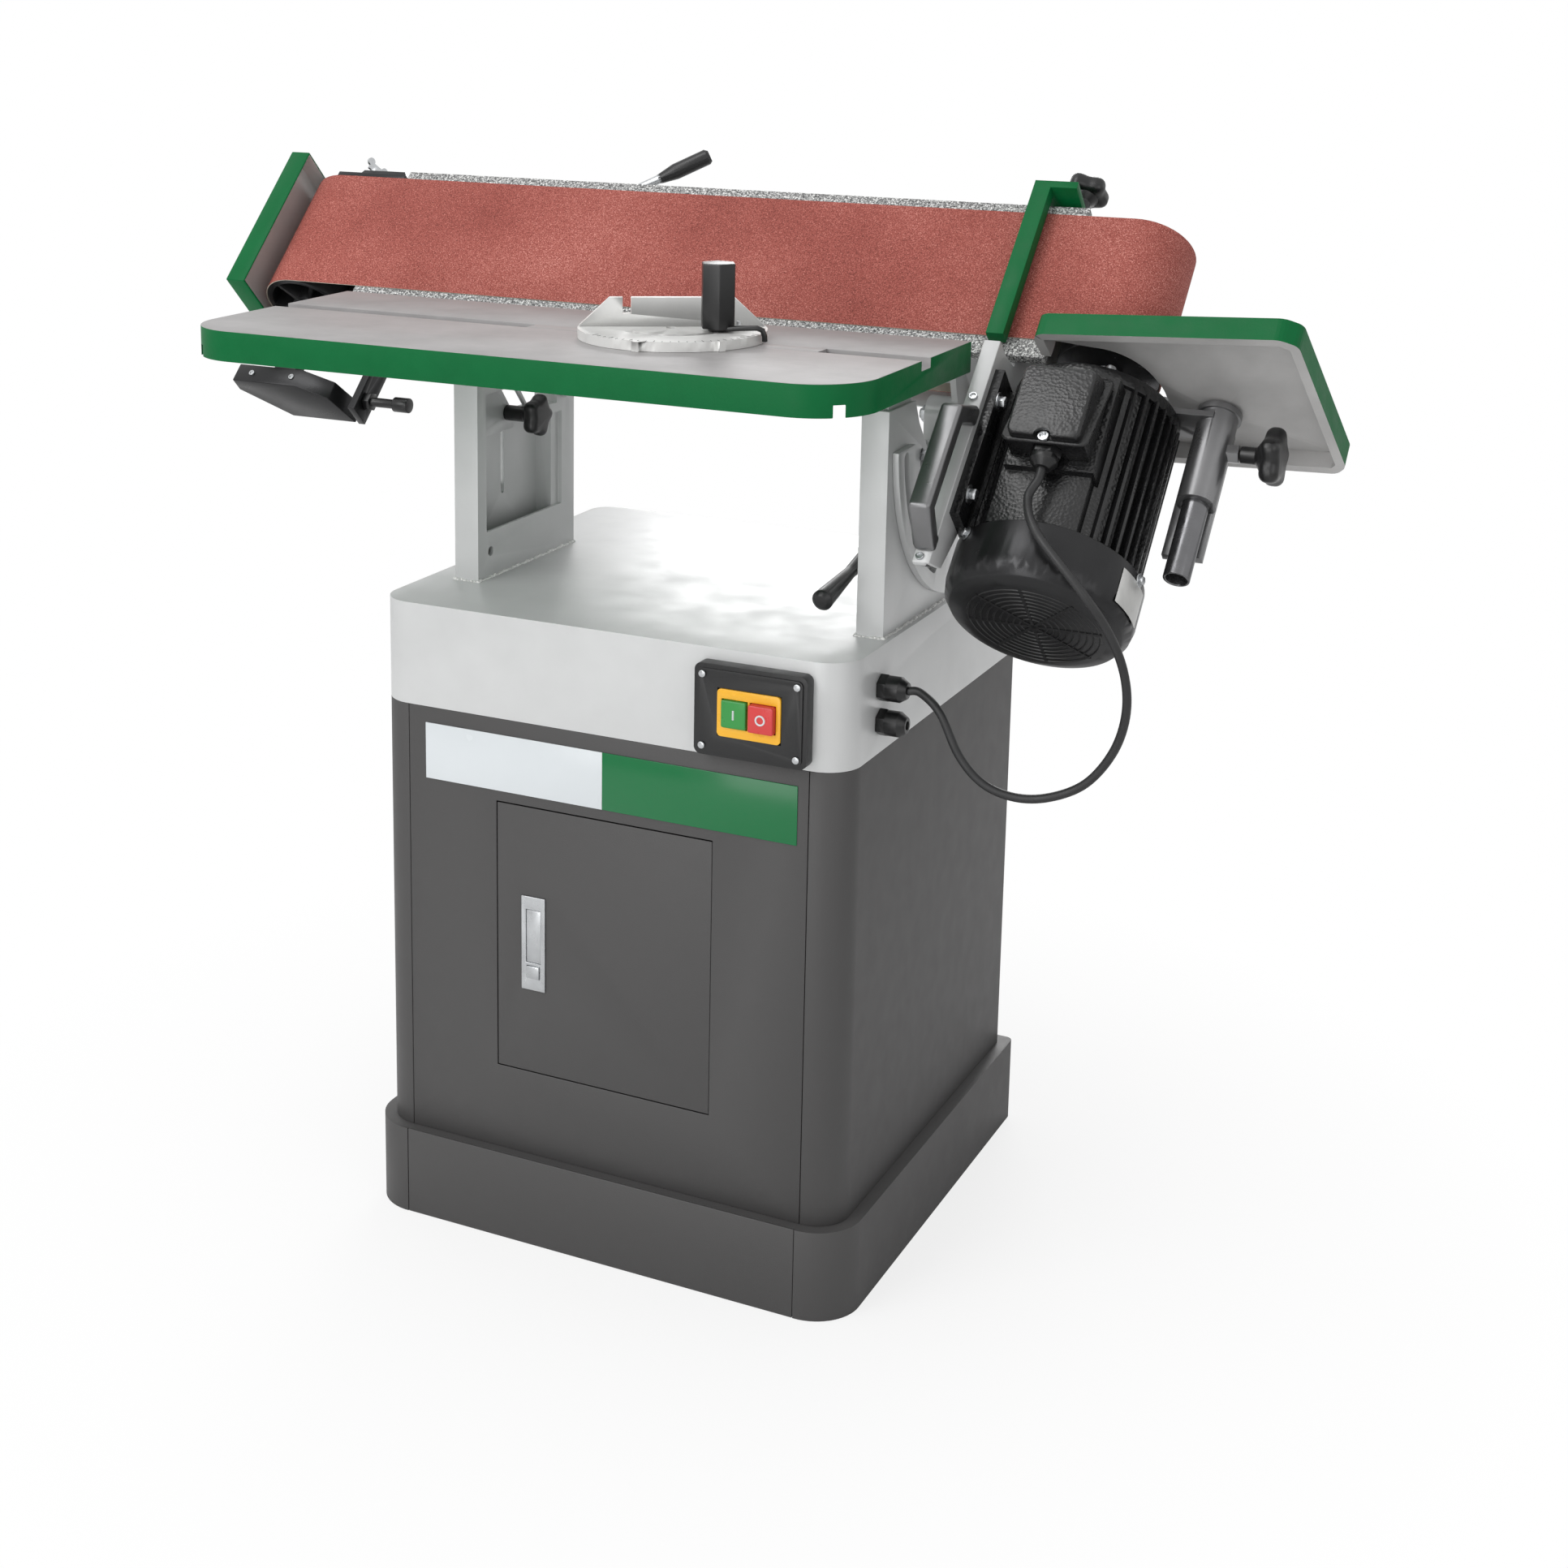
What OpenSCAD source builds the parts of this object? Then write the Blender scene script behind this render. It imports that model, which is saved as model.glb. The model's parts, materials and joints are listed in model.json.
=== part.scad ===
// Edge sander with a tilting abrasive belt on a sheet metal cabinet.
// Origin on the floor under the middle of the cabinet. X runs along the table,
// the operator stands at -Y, Z is up.

/* [Cabinet] */
// width of the cabinet body
cabinet_w = 500; // [480:1:520]
// depth of the cabinet body
cabinet_d = 470; // [450:1:500]
// height of the plinth skirt
plinth_h = 91; // [80:1:110]
// how far the skirt stands out from the body
plinth_out = 12.5; // [8:0.5:20]
// height of the seam between the dark body and the pale top housing
body_top = 539; // [500:1:545]
// rounding of the upright front corners
corner_r = 35; // [30:1:38]

/* [Door] */
// width of the door leaf
door_w = 231; // [200:1:240]
// height of the door leaf
door_h = 274; // [200:1:290]
// height of the lower edge of the door
door_z = 180; // [150:1:190]

/* [Top housing] */
// height of the pale housing on top of the body
housing_h = 103; // [100:1:110]

/* [Posts] */
// width of a post across its front
post_w = 27; // [26:1:32]
// depth of a post from front to back
post_d = 200; // [196:1:206]

/* [Table] */
// length of the table
table_w = 688; // [660:1:688]
// depth of the table
table_d = 291; // [280:1:300]
// thickness of the table rim
table_t = 29; // [26:1:32]
// height of the table surface
table_z = 914; // [912:1:918]
// rounding of the front corners of the table
table_r = 60; // [30:1:70]

/* [Belt unit] */
// width of the abrasive belt
belt_w = 150; // [145:1:150]
// radius of both drums
drum_r = 49; // [47:0.5:49]
// distance from the cabinet middle to the drive drum axis
drive_x = 394; // [392:1:400]
// distance from the cabinet middle to the idler drum axis, to the left
idler_x = -510; // [-520:1:-506]
// lean of the belt face from upright as photographed
tilt = 45; // [43:1:47]

/* [Motor] */
// radius over the cooling fins
motor_r = 80; // [76:1:80]
// radius of the fan cover
fan_r = 86; // [82:1:87]
// length of the finned part
stator_l = 177; // [170:1:182]

/* [Contour table] */
// outer radius of the clamping sleeve
sleeve_r = 18; // [17:0.5:19]
// radius of the column that slides in it
column_r = 12; // [11:0.5:13]

/* [Hidden] */
$fn = 96;

// colours
dark = [0.32, 0.315, 0.31]; pale = [0.80, 0.81, 0.81]; green = [0.10, 0.42, 0.24];
black = [0.05, 0.05, 0.055]; steel = [0.62, 0.63, 0.65]; grit = [0.66, 0.33, 0.30];

fit = 0.05;       // radial clearance of a running fit
seat = 0.3;       // gap between a piece and the one it rests on
sheet = 2;        // cabinet sheet
wall = 3;         // housing sheet
post_t = 4;       // post wall
cab_x = cabinet_w / 2;
cab_y = cabinet_d / 2;
front_y = -cab_y;
housing_top = body_top + housing_h;
panel_x = cab_x - corner_r - 1;       // edge of the flat front panel
door_mid = 2;
switch_x = 160;                       // middle of the switch box
switch_z = housing_top - 55;
gland_y = -158;
gland_z = [housing_top - 39, housing_top - 72];

// posts
post_l = -219;                        // outer face of the left post
post_r = 243;                         // outer face of the right post
post_f = -137;                        // front face of both posts
post_b = post_f + post_d;

// belt unit frame: x as the table, y back from the belt face, z up along the drums
unit_y = -3;
unit_z = table_z - 2;
axis_y = drum_r + 1.5;                // drum axes behind the belt face
belt_t = 1.2;
pv = -30;                             // tilt pivot in the unit frame
pq = 97;
sn = sin(tilt);
cs = cos(tilt);
pivot_y = unit_y + pv * sn + pq * cs;
pivot_z = unit_z + pv * cs - pq * sn;
ear_r = 19;
clamp_r = 151;                        // radius of the clamp slot about the pivot
clamp_a = 38.5;                       // clamp stud, degrees forward of straight down
stud_r = 6;
sector_x = post_r + 0.4;
sector_t = 6;

// table
table_x = -397;
table_rear = -58;
table_low = table_z - table_t;
table_drop = 22;
post_top = table_low - table_drop - 7;
window_top = table_low - 54;          // upper edge of the window in a post
slot_y = -176;
slot_w = 22;
slot_d = 9;
lock_y = -49;
lock_z = table_z - 114;
lock_slot_low = lock_z - 82;          // lower end of the slot for the table lock
pin_r = 3;

// mitre gauge
mitre_x = 42;
mitre_turn = 30;
mitre_r = 88;
mitre_arc = 46;

// motor
motor_top = -42;                      // front end of the motor along the drums
foot_x = drive_x - 77;                 // face that the motor feet bolt to
shaft_r = 11;
fan_top = motor_top - stator_l;
fan_l = 57;

// contour table column
col_x = 504;
col_y = 60;
col_top = -24;
knob_v = col_top - 43;                // height of the clamp knob
sleeve_l = 102;

module on_unit() { translate([0, unit_y, unit_z]) rotate([-tilt, 0, 0]) children(); }
module along_x() { rotate([90, 0, 90]) children(); }
// rounded upright corners at the front only
module cab_outline(x, y, r, rr) {
  union() {
    translate([-x, -y + r]) square([2 * x, 2 * y - r - rr]);
    translate([-x + r, -y]) square([2 * x - 2 * r, r]);
    translate([-x + rr, y - rr]) square([2 * x - 2 * rr, rr]);
    for (s = [-1, 1]) {
      translate([s * (x - r), -y + r]) circle(r);
      translate([s * (x - rr), y - rr]) circle(rr);
    }
  }
}
module round_box(w, d, h, r) {
  linear_extrude(h) union() {
    square([w - 2 * r, d], center = true);
    square([w, d - 2 * r], center = true);
    for (sx = [-1, 1]) for (sy = [-1, 1])
      translate([sx * (w / 2 - r), sy * (d / 2 - r)]) circle(r);
  }
}

// stand
module floor_pan() color(dark) difference() {
  linear_extrude(4) cab_outline(cab_x + plinth_out - sheet - seat, cab_y + plinth_out - sheet - seat,
    corner_r + plinth_out - sheet - seat, 6);
  for (sx = [-1, 1]) for (sy = [-1, 1])
    translate([sx * 200, sy * 185, -1]) cylinder(r = 5.5, h = 6);
}
module plinth_shell() color(dark) difference() {
  union() {
    linear_extrude(plinth_h) cab_outline(cab_x + plinth_out, cab_y + plinth_out,
      corner_r + plinth_out, 8);
  }
  translate([0, 0, -1]) linear_extrude(plinth_h - sheet + 1) cab_outline(
    cab_x + plinth_out - sheet, cab_y + plinth_out - sheet, corner_r + plinth_out - sheet, 6);
  translate([0, 0, plinth_h - sheet - 1]) linear_extrude(sheet + 2)
    square([cabinet_w - 80, cabinet_d - 80], center = true);
  translate([-panel_x, -cab_y - plinth_out - 1, -1])
    cube([2 * panel_x, sheet + 1.2, plinth_h + 2]);
}
module plinth_front() color(dark)
  translate([-panel_x + 0.6, -cab_y - plinth_out, 0]) cube([2 * panel_x - 1.2, sheet, plinth_h]);
module cabinet_shell() color(dark) difference() {
  translate([0, 0, plinth_h]) linear_extrude(body_top - plinth_h) difference() {
    cab_outline(cab_x, cab_y, corner_r, 6);
    cab_outline(cab_x - sheet, cab_y - sheet, corner_r - sheet, 4);
  }
  translate([-panel_x, front_y - 1, plinth_h - 1])
    cube([2 * panel_x, sheet + 1.2, body_top - plinth_h + 2]);
}
module front_panel() color(dark) difference() {
  union() {
    translate([-panel_x + 0.6, front_y, plinth_h])
      cube([2 * panel_x - 1.2, sheet, body_top - plinth_h]);
    for (s = [-1, 1]) translate([s * (panel_x - 4.6) - 4, front_y + sheet, plinth_h + 8])
      cube([8, 22, body_top - plinth_h - 16]);
  }
  translate([door_mid - door_w / 2 - 1.2, front_y - 1, door_z - 1.2])
    cube([door_w + 1.2 + seat, sheet + 2, door_h + 2.4]);
}
module top_housing() color(pale) difference() {
  translate([0, 0, body_top]) linear_extrude(housing_h) cab_outline(cab_x, cab_y, corner_r, 25);
  translate([0, 0, body_top - 1]) linear_extrude(housing_h - wall + 1)
    cab_outline(cab_x - wall, cab_y - wall, corner_r - wall, 22);
  for (z = gland_z) translate([cab_x - 6, gland_y, z]) rotate([0, 90, 0]) cylinder(r = 8.3, h = 12);
}
// side view of a post, x = depth, y = height
module post_side() {
  union() {
    polygon([[post_f, housing_top], [post_b, housing_top], [post_b, pivot_z],
      [pivot_y - ear_r, pivot_z], [pivot_y - ear_r, pivot_z - 22], [-30, pivot_z - 22],
      [-58, window_top + 2], [-70, post_top], [post_f, post_top]]);
    translate([pivot_y, pivot_z]) circle(ear_r);
  }
}
module post(outer, inner, sill) {
  // outer and inner: x of the two side faces
  x0 = min(outer, inner);
  out_x = outer < inner ? outer - 1 : outer - post_t - 1;
  in_x = outer < inner ? inner - post_t - 1 : inner - 1;
  difference() {
    translate([x0, 0, 0]) along_x() linear_extrude(post_w) post_side();
    // hollow, open at the top in front
    translate([x0 + post_t, post_f + post_t, housing_top - 1])
      cube([post_w - 2 * post_t, pivot_y - ear_r - 4 - post_f - post_t, table_z]);
    // window in the inner side
    translate([in_x, 0, 0]) along_x() linear_extrude(post_t + 2) polygon([[post_f + 17, sill],
      [post_f + 173, sill], [post_f + 173, pivot_z - 32], [-25, pivot_z - 32], [-62, window_top],
      [post_f + 17, window_top]]);
    // slot for the table lock in the outer side
    translate([out_x, lock_y, 0]) along_x() linear_extrude(post_t + 2) union() {
      translate([-3.25, lock_slot_low]) square([6.5, lock_z + 4 - lock_slot_low]);
      translate([0, lock_slot_low]) circle(3.25);
      translate([0, lock_z + 4]) circle(3.25);
    }
    // pivot bolt
    translate([x0 - 1, pivot_y, pivot_z]) rotate([0, 90, 0]) cylinder(r = 5 + fit, h = post_w + 2);
  }
}
module left_post() color(pale) difference() {
  post(post_l, post_l + post_w, housing_top + 48);
  translate([post_l + post_w - post_t - 1, post_f + 25, housing_top + 27]) rotate([0, 90, 0])
    cylinder(r = 5, h = post_t + 2);
}
clamp_y = pivot_y - clamp_r * sin(clamp_a);
clamp_z = pivot_z - clamp_r * cos(clamp_a);
module right_post() color(pale) difference() {
  post(post_r, post_r - post_w, housing_top + 100);
  translate([post_r - post_w - 1, clamp_y, clamp_z]) rotate([0, 90, 0])
    cylinder(r = stud_r + fit, h = post_w + 2);
}
module badge(x0, x1) translate([x0, front_y - 1.2, body_top - 73]) cube([x1 - x0, 1.2, 57]);
module badge_left() color([0.83, 0.86, 0.87]) badge(-194, 2);
module badge_right() color(green) badge(2, 203);
module switch_box() color(black) translate([switch_x, front_y, switch_z]) difference() {
  union() {
    rotate([90, 0, 0]) round_box(112, 87, 14, 7);
    translate([0, -14, 0]) rotate([90, 0, 0]) round_box(104, 79, 2, 5);
  }
  translate([0, -13, 0]) rotate([90, 0, 0]) linear_extrude(6) square([63.6, 45.6], center = true);
  for (s = [-1, 1]) translate([s * 14, -2.5, 0]) rotate([90, 0, 0])
    linear_extrude(15) square([26.4, 27.4], center = true);
  for (sx = [-1, 1]) for (sz = [-1, 1]) translate([sx * 47, -8, sz * 34])
    rotate([90, 0, 0]) cylinder(r = 2, h = 10, $fn = 24);
}
module switch_plate() color([0.96, 0.70, 0.16]) translate([switch_x, front_y - 13, switch_z])
  difference() {
    rotate([90, 0, 0]) round_box(63, 45, 4.5, 4);
    for (s = [-1, 1]) translate([s * 14, 1, 0]) rotate([90, 0, 0])
      linear_extrude(8) square([26, 27], center = true);
  }
module button(s, deep) translate([switch_x + s * 14, front_y - 7.3, switch_z])
  rotate([90, 0, 0]) round_box(25, 26, deep, 2);
module start_button() color([0.18, 0.57, 0.24]) button(-1, 13);
module stop_button() color([0.84, 0.22, 0.22]) button(1, 16);
module switch_screws() color(steel) {
  for (sx = [-1, 1]) for (sz = [-1, 1]) translate([switch_x + sx * 47, front_y - 8.2, switch_z + sz * 34])
    rotate([90, 0, 0]) union() { cylinder(r = 1.9, h = 8.1, $fn = 24);
      translate([0, 0, 7.8]) cylinder(r = 3.4, h = 2, $fn = 24); }
}
module cable_glands() color(black) for (z = gland_z)
  translate([cab_x - 10, gland_y, z]) rotate([0, 90, 0]) difference() {
    union() {
      cylinder(r = 8, h = 12);
      translate([0, 0, 10.3]) cylinder(r = 13, h = 8, $fn = 6);
      translate([0, 0, 18.3]) cylinder(r = 12, h = 12);
      translate([0, 0, 30.3]) cylinder(r1 = 12, r2 = 7.5, h = 7);
    }
    translate([0, 0, -1]) cylinder(r = 4.3, h = 16);
    if (z == gland_z[1]) translate([0, 0, 10]) cylinder(r = 4.3, h = 30);
  }
module pivot_bolts() color(steel) {
  // left: head outside the post, nut on the ear
  translate([post_l - 0.1, pivot_y, pivot_z]) rotate([0, 90, 0]) union() {
    translate([0, 0, -6.2]) cylinder(r = 9, h = 6.2, $fn = 6);
    cylinder(r = 5, h = post_w + 14);
    translate([0, 0, post_w + 6.8]) cylinder(r = 9, h = 7, $fn = 6);
  }
  translate([post_r + 0.1, pivot_y, pivot_z]) rotate([0, -90, 0]) union() {
    translate([0, 0, -13.4]) cylinder(r = 9, h = 6.6, $fn = 6);
    translate([0, 0, -10]) cylinder(r = 5, h = post_w + 20);
    translate([0, 0, post_w + 0.2]) cylinder(r = 9, h = 7, $fn = 6);
  }
}
module clamp_lever() color(black) {
  translate([post_r - post_w - 0.3, clamp_y, clamp_z]) union() {
    // stud through both walls and the sector slot
    rotate([0, 90, 0]) cylinder(r = stud_r, h = post_w + sector_t + 9);
    translate([post_w + sector_t + 1.5, 0, 0]) rotate([0, 90, 0]) cylinder(r = 11, h = 6, $fn = 6);
    rotate([0, -90, 0]) cylinder(r = 12, h = 26);
    translate([-26, 0, 0]) rotate([0, -90, 0]) cylinder(r1 = 12, r2 = 9, h = 5);
    translate([-19, 0, 0]) rotate([100, 0, 0]) union() {
      cylinder(r1 = 9, r2 = 6, h = 60);
      translate([0, 0, 59.9]) cylinder(r1 = 6, r2 = 10, h = 66);
      translate([0, 0, 125.9]) cylinder(r1 = 10, r2 = 6, h = 4);
    }
  }
}

// door
latch_x = -73;
latch_z = door_z + door_h / 2 - 2;
module door_panel() color(dark) difference() {
  union() {
    translate([door_mid - door_w / 2, front_y, door_z]) cube([door_w, 1.8, door_h]);
    for (s = [-1, 1]) translate([door_mid + s * (door_w / 2 - 5) - 3, front_y + 1.8, door_z + 5])
      cube([6, 14, door_h - 10]);
  }
  translate([latch_x - 10.8, front_y - 1, latch_z - 44]) cube([21.6, 4, 88]);
}
module latch_plate() color(steel) difference() {
  union() {
    translate([latch_x - 13, front_y - 1.4, latch_z - 48.5]) cube([26, 1.4, 97]);
    translate([latch_x - 10.5, front_y, latch_z - 43.7]) cube([21, 13, 87.4]);
  }
  translate([latch_x - 8.2, front_y - 3, latch_z - 20]) cube([16.4, 14, 55]);
  translate([latch_x - 7.2, front_y - 3, latch_z - 36]) cube([14.4, 14, 13]);
}
module latch_paddle() color(steel) translate([latch_x, front_y, latch_z]) union() {
  translate([-7.9, -0.6, -19.6]) cube([15.8, 2.6, 54]);
  translate([-7.9, 2, 29]) cube([15.8, 6, 5.4]);
}
module latch_button() color(steel) translate([latch_x - 6.9, front_y - 3, latch_z - 35.7])
  cube([13.8, 10, 12.4]);

// table
module table_top() color([0.66, 0.66, 0.66]) difference() {
  translate([table_x, table_rear - table_d, table_low]) linear_extrude(table_t) union() {
    translate([table_r, 0]) square([table_w - 2 * table_r, table_d]);
    translate([0, table_r]) square([table_w, table_d - table_r]);
    for (x = [table_r, table_w - table_r]) translate([x, table_r]) circle(table_r);
  }
  translate([table_x - 1, slot_y - slot_w / 2, table_z - slot_d]) cube([table_w + 2, slot_w, slot_d + 1]);
  // ribbed underside of the casting
  for (i = [0:3]) for (y = [0, 1])
    translate([table_x + 14 + i * (table_w - 20) / 4, table_rear - table_d + 14 + y * (table_d - 20) / 2,
      table_low - 1]) cube([(table_w - 20) / 4 - 8, (table_d - 20) / 2 - 8, table_t - slot_d - 8]);
}
module table_bracket(x0, dir) {
  // plate inside the post with a foot under the table
  union() {
    translate([x0, 0, 0]) along_x() linear_extrude(5) polygon([[post_f + 9, table_low - 0.3],
      [-70, table_low - 0.3], [-70, table_low - 60], [lock_y + 14, table_low - 84],
      [lock_y + 14, lock_z - 18], [post_f + 9, lock_z - 18]]);
    translate([dir > 0 ? x0 : x0 - 25, post_f + 9, table_low - 5.3]) cube([30, 58, 5]);
  }
}
module bracket_hole(x0) translate([x0 - 1, lock_y, lock_z]) rotate([0, 90, 0])
  cylinder(r = pin_r + fit, h = 8);
bracket_l = post_l + post_t + 0.3;
bracket_r = post_r - post_t - 0.3 - 5;
module left_table_bracket() color(steel) difference() {
  table_bracket(bracket_l, 1);
  bracket_hole(bracket_l);
}
module right_table_bracket() color(steel) difference() {
  table_bracket(bracket_r, -1);
  bracket_hole(bracket_r);
}
// five-lobed hand knob: hub, lobed disc and cap, r is the radius over the lobes
module star_knob(r, hub, disc) union() {
  rotate_extrude() polygon([[0, 0], [8, 0], [8, hub], [r - 8, hub + 6.2], [r - 8, hub + 5.8 + disc],
    [r - 11, hub + 9 + disc], [0, hub + 9 + disc]]);
  translate([0, 0, hub + 6]) linear_extrude(disc) union() {
    circle(r - 5);
    for (a = [0:72:288]) rotate(a) translate([r - 8, 0]) circle(8);
  }
}
module lock_knob() difference() {
  star_knob(24, 22, 14);
  translate([0, 0, -1]) cylinder(r = pin_r + fit, h = 14);
}
module left_lock_knob() color(black) translate([bracket_l + 5 + seat, lock_y, lock_z])
  rotate([0, 90, 0]) lock_knob();
module right_lock_knob() color(black) translate([bracket_r - seat, lock_y, lock_z])
  rotate([0, -90, 0]) lock_knob();
module lock_bolts() color(steel) {
  translate([post_l - 0.3, lock_y, lock_z]) rotate([0, 90, 0]) union() {
    cylinder(r = pin_r, h = post_t + 16);
    translate([0, 0, -3.5]) cylinder(r = 6, h = 3.5, $fn = 6);
  }
  translate([post_r + 0.3, lock_y, lock_z]) rotate([0, -90, 0]) union() {
    cylinder(r = pin_r, h = post_t + 16);
    translate([0, 0, -3.5]) cylinder(r = 6, h = 3.5, $fn = 6);
  }
}
module mitre_bar() color(steel) union() {
  translate([mitre_x - 150, slot_y - slot_w / 2 + 0.3, table_z - slot_d + 0.3])
    cube([300, slot_w - 0.6, slot_d - 0.3]);
  translate([mitre_x, slot_y, table_z - 1]) cylinder(r = 6, h = 8);
  translate([mitre_x + mitre_arc, slot_y, table_z - 1]) cylinder(r = 4, h = 20);
}
module mitre_head() color([0.86, 0.86, 0.85]) translate([mitre_x, slot_y, table_z + 0.3])
  rotate([0, 0, mitre_turn]) difference() {
    union() {
      intersection() {
        cylinder(r = mitre_r, h = 9);
        translate([-mitre_r - 1, -mitre_r - 1, -1]) cube([2 * mitre_r + 2, mitre_r + 18, 12]);
      }
      // fence with slanted ends
      translate([0, 16, 0]) rotate([90, 0, 0]) linear_extrude(8) polygon([
        [-mitre_r + 2, 0], [mitre_r - 2, 0], [mitre_r - 2, 10], [58, 36], [-58, 36], [-mitre_r + 2, 10]]);
      for (a = [-115, -65]) rotate([0, 0, a]) translate([mitre_r - 3, -3, 0]) cube([8, 6, 9]);
    }
    translate([0, 0, -1]) cylinder(r = 6 + fit, h = 12);
    translate([-46, 7, 21]) cube([8, 10, 17]);
    // curved slot for the lock
    translate([0, 0, -1]) difference() {
      cylinder(r = mitre_arc + 4.5, h = 12);
      translate([0, 0, -1]) cylinder(r = mitre_arc - 4.5, h = 14);
      rotate([0, 0, -24]) translate([-mitre_r, 0, -1]) cube([2 * mitre_r, mitre_r, 14]);
      rotate([0, 0, 24]) translate([-mitre_r, 0, -1]) cube([2 * mitre_r, mitre_r, 14]);
    }
  }
module mitre_handle() color(black) translate([mitre_x + mitre_arc, slot_y, table_z + 9.6])
  difference() {
    union() {
      cylinder(r = 9, h = 3);
      translate([0, 0, 3]) cylinder(r = 17, h = 60, $fn = 6);
    }
    translate([0, 0, -1]) cylinder(r = 4 + fit, h = 16);
  }

// tilting belt unit
beam_l = -415;
beam_r = 335;
beam_f = 12;                          // front of the beam behind the belt face
beam_b = 88;
beam_low = 2;
beam_top = belt_w - 2;
stop_x = 319;                         // middle of the stop bar knob
module main_beam() color(pale) on_unit() union() {
  difference() {
    translate([beam_l, beam_f, beam_low]) cube([beam_r - beam_l, beam_b - beam_f, beam_top - beam_low]);
    translate([beam_l + 8, beam_f + 6, beam_low + 6])
      cube([beam_r - beam_l - 16, beam_b, beam_top - beam_low - 12]);
    // bore for the idler rod
    translate([beam_l - 1, axis_y, belt_w / 2]) rotate([0, 90, 0]) cylinder(r = 9 + fit, h = 12);
  }
  // guide for the idler rod
  translate([beam_l + 6, axis_y, belt_w / 2]) rotate([0, 90, 0]) difference() {
    cylinder(r = 16, h = 60);
    translate([0, 0, -1]) cylinder(r = 9 + fit, h = 62);
  }
  // brackets under the beam that carry the rear guard
  for (x = [-350, 0, 285]) translate([x - 12, 30, -12]) union() {
    cube([24, 86, 11]);
    cube([24, 56, 14.5]);
  }
  // lugs on top for the tension lever and the stop bar
  translate([-245, 44, beam_top - 1]) cube([28, 12, 34]);
  difference() {
    translate([stop_x - 14, 20, beam_top - 1]) cube([28, 60, 21]);
    translate([stop_x, 50, beam_top - 12]) cylinder(r = 4 + fit, h = 40);
  }
  // drop plate for the tension screw
  difference() {
    translate([beam_l + 6, 60, -118]) cube([8, 30, beam_low + 121]);
    translate([beam_l, 75, -98]) rotate([0, 90, 0]) cylinder(r = 5 + fit, h = 20);
  }
}
module ear(t, r) union() {
  along_x() linear_extrude(t) polygon([[beam_f + 2, beam_low], [beam_b, beam_low], [pq + 7, pv + 8],
    [pq - 6, pv - 9], [beam_f + 30, pv + 16]]);
  translate([0, pq, pv]) rotate([0, 90, 0]) cylinder(r = r, h = t);
}
ear_x = post_l + post_w + 0.3;
module pivot_ear() color(pale) on_unit() difference() {
  translate([ear_x, 0, 0]) ear(6, ear_r);
  translate([ear_x - 1, pq, pv]) rotate([0, 90, 0]) cylinder(r = 5 + fit, h = 8);
}
// clamp plate: arm and curved slot about the pivot
module tilt_sector() color(pale) on_unit() difference() {
  translate([sector_x, 0, 0]) union() {
    ear(sector_t, 24);
    translate([0, pq, pv]) union() {
      along_x() linear_extrude(sector_t) rotate(-90 + 22) translate([0, -16]) square([140, 32]);
      along_x() linear_extrude(sector_t) intersection() {
        difference() { circle(172); circle(129); }
        polygon([[0, 0], [400 * cos(-133), 400 * sin(-133)], [0, -400],
          [400 * cos(-57), 400 * sin(-57)]]);
      }
    }
  }
  translate([sector_x - 1, pq, pv]) rotate([0, 90, 0]) cylinder(r = 5 + fit, h = sector_t + 2);
  // slot from upright to ten degrees past the photographed lean
  translate([sector_x - 1, pq, pv]) along_x() linear_extrude(sector_t + 2) union() {
    intersection() {
      difference() { circle(clamp_r + stud_r + 0.3); circle(clamp_r - stud_r - 0.3); }
      polygon([[0, 0], [400 * cos(-129.5), 400 * sin(-129.5)], [0, -400],
        [400 * cos(-71), 400 * sin(-71)]]);
    }
    for (a = [-129.5, -71]) rotate(a) translate([clamp_r, 0]) circle(stud_r + 0.2);
  }
}
module platen() color([0.45, 0.45, 0.46]) on_unit()
  translate([-425, belt_t + 0.3, -20]) cube([772, beam_f - belt_t - 0.3, belt_w + 31]);
module sanding_belt() color(grit) on_unit() translate([0, 0, 0]) linear_extrude(belt_w) difference() {
  union() {
    translate([idler_x, axis_y - drum_r - 1.5]) square([drive_x - idler_x, 2 * drum_r + 3]);
    translate([idler_x, axis_y]) circle(drum_r + 1.5);
    translate([drive_x, axis_y]) circle(drum_r + 1.5);
  }
  translate([idler_x, axis_y - drum_r - 0.3]) square([drive_x - idler_x, 2 * drum_r + 0.6]);
  translate([idler_x, axis_y]) circle(drum_r + 0.3);
  translate([drive_x, axis_y]) circle(drum_r + 0.3);
}
guard_y = 116;
guard_l = idler_x - drum_r - 14;
module rear_guard() color(pale) on_unit() union() {
  translate([guard_l + 24, guard_y, -9]) cube([drive_x - 41 - guard_l - 24, 2, belt_w + 17]);
  translate([guard_l + 24, guard_y - 10, belt_w + 6]) cube([drive_x - 41 - guard_l - 24, 12, 2]);
}
module left_guard() color(green) on_unit() difference() {
  translate([guard_l, -21, -21]) cube([24, guard_y + 23, 184]);
  translate([guard_l + 2.5, -18.5, -18.5]) cube([24, guard_y + 18, 179]);
}
module motor_bracket() color(pale) on_unit() union() {
  translate([foot_x - 6, 0, 0]) along_x() linear_extrude(6) polygon([[-37, -32], [-16, -32],
    [14, -24], [14, beam_low], [beam_b, beam_low], [beam_b, -34], [122, -60], [122, -205],
    [10, -208], [-6, -262], [-37, -276]]);
  translate([foot_x - 16, -37, -276]) cube([12, 6, 244]);
}
module grip_handle() color(black) on_unit() translate([foot_x - 17, 0, 0]) along_x()
  linear_extrude(20) polygon([[-37, -112], [-46, -112], [-84, -138], [-84, -247], [-46, -265],
    [-37, -265], [-37, -249], [-44, -249], [-68, -238], [-68, -148], [-44, -130], [-37, -130]]);
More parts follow.
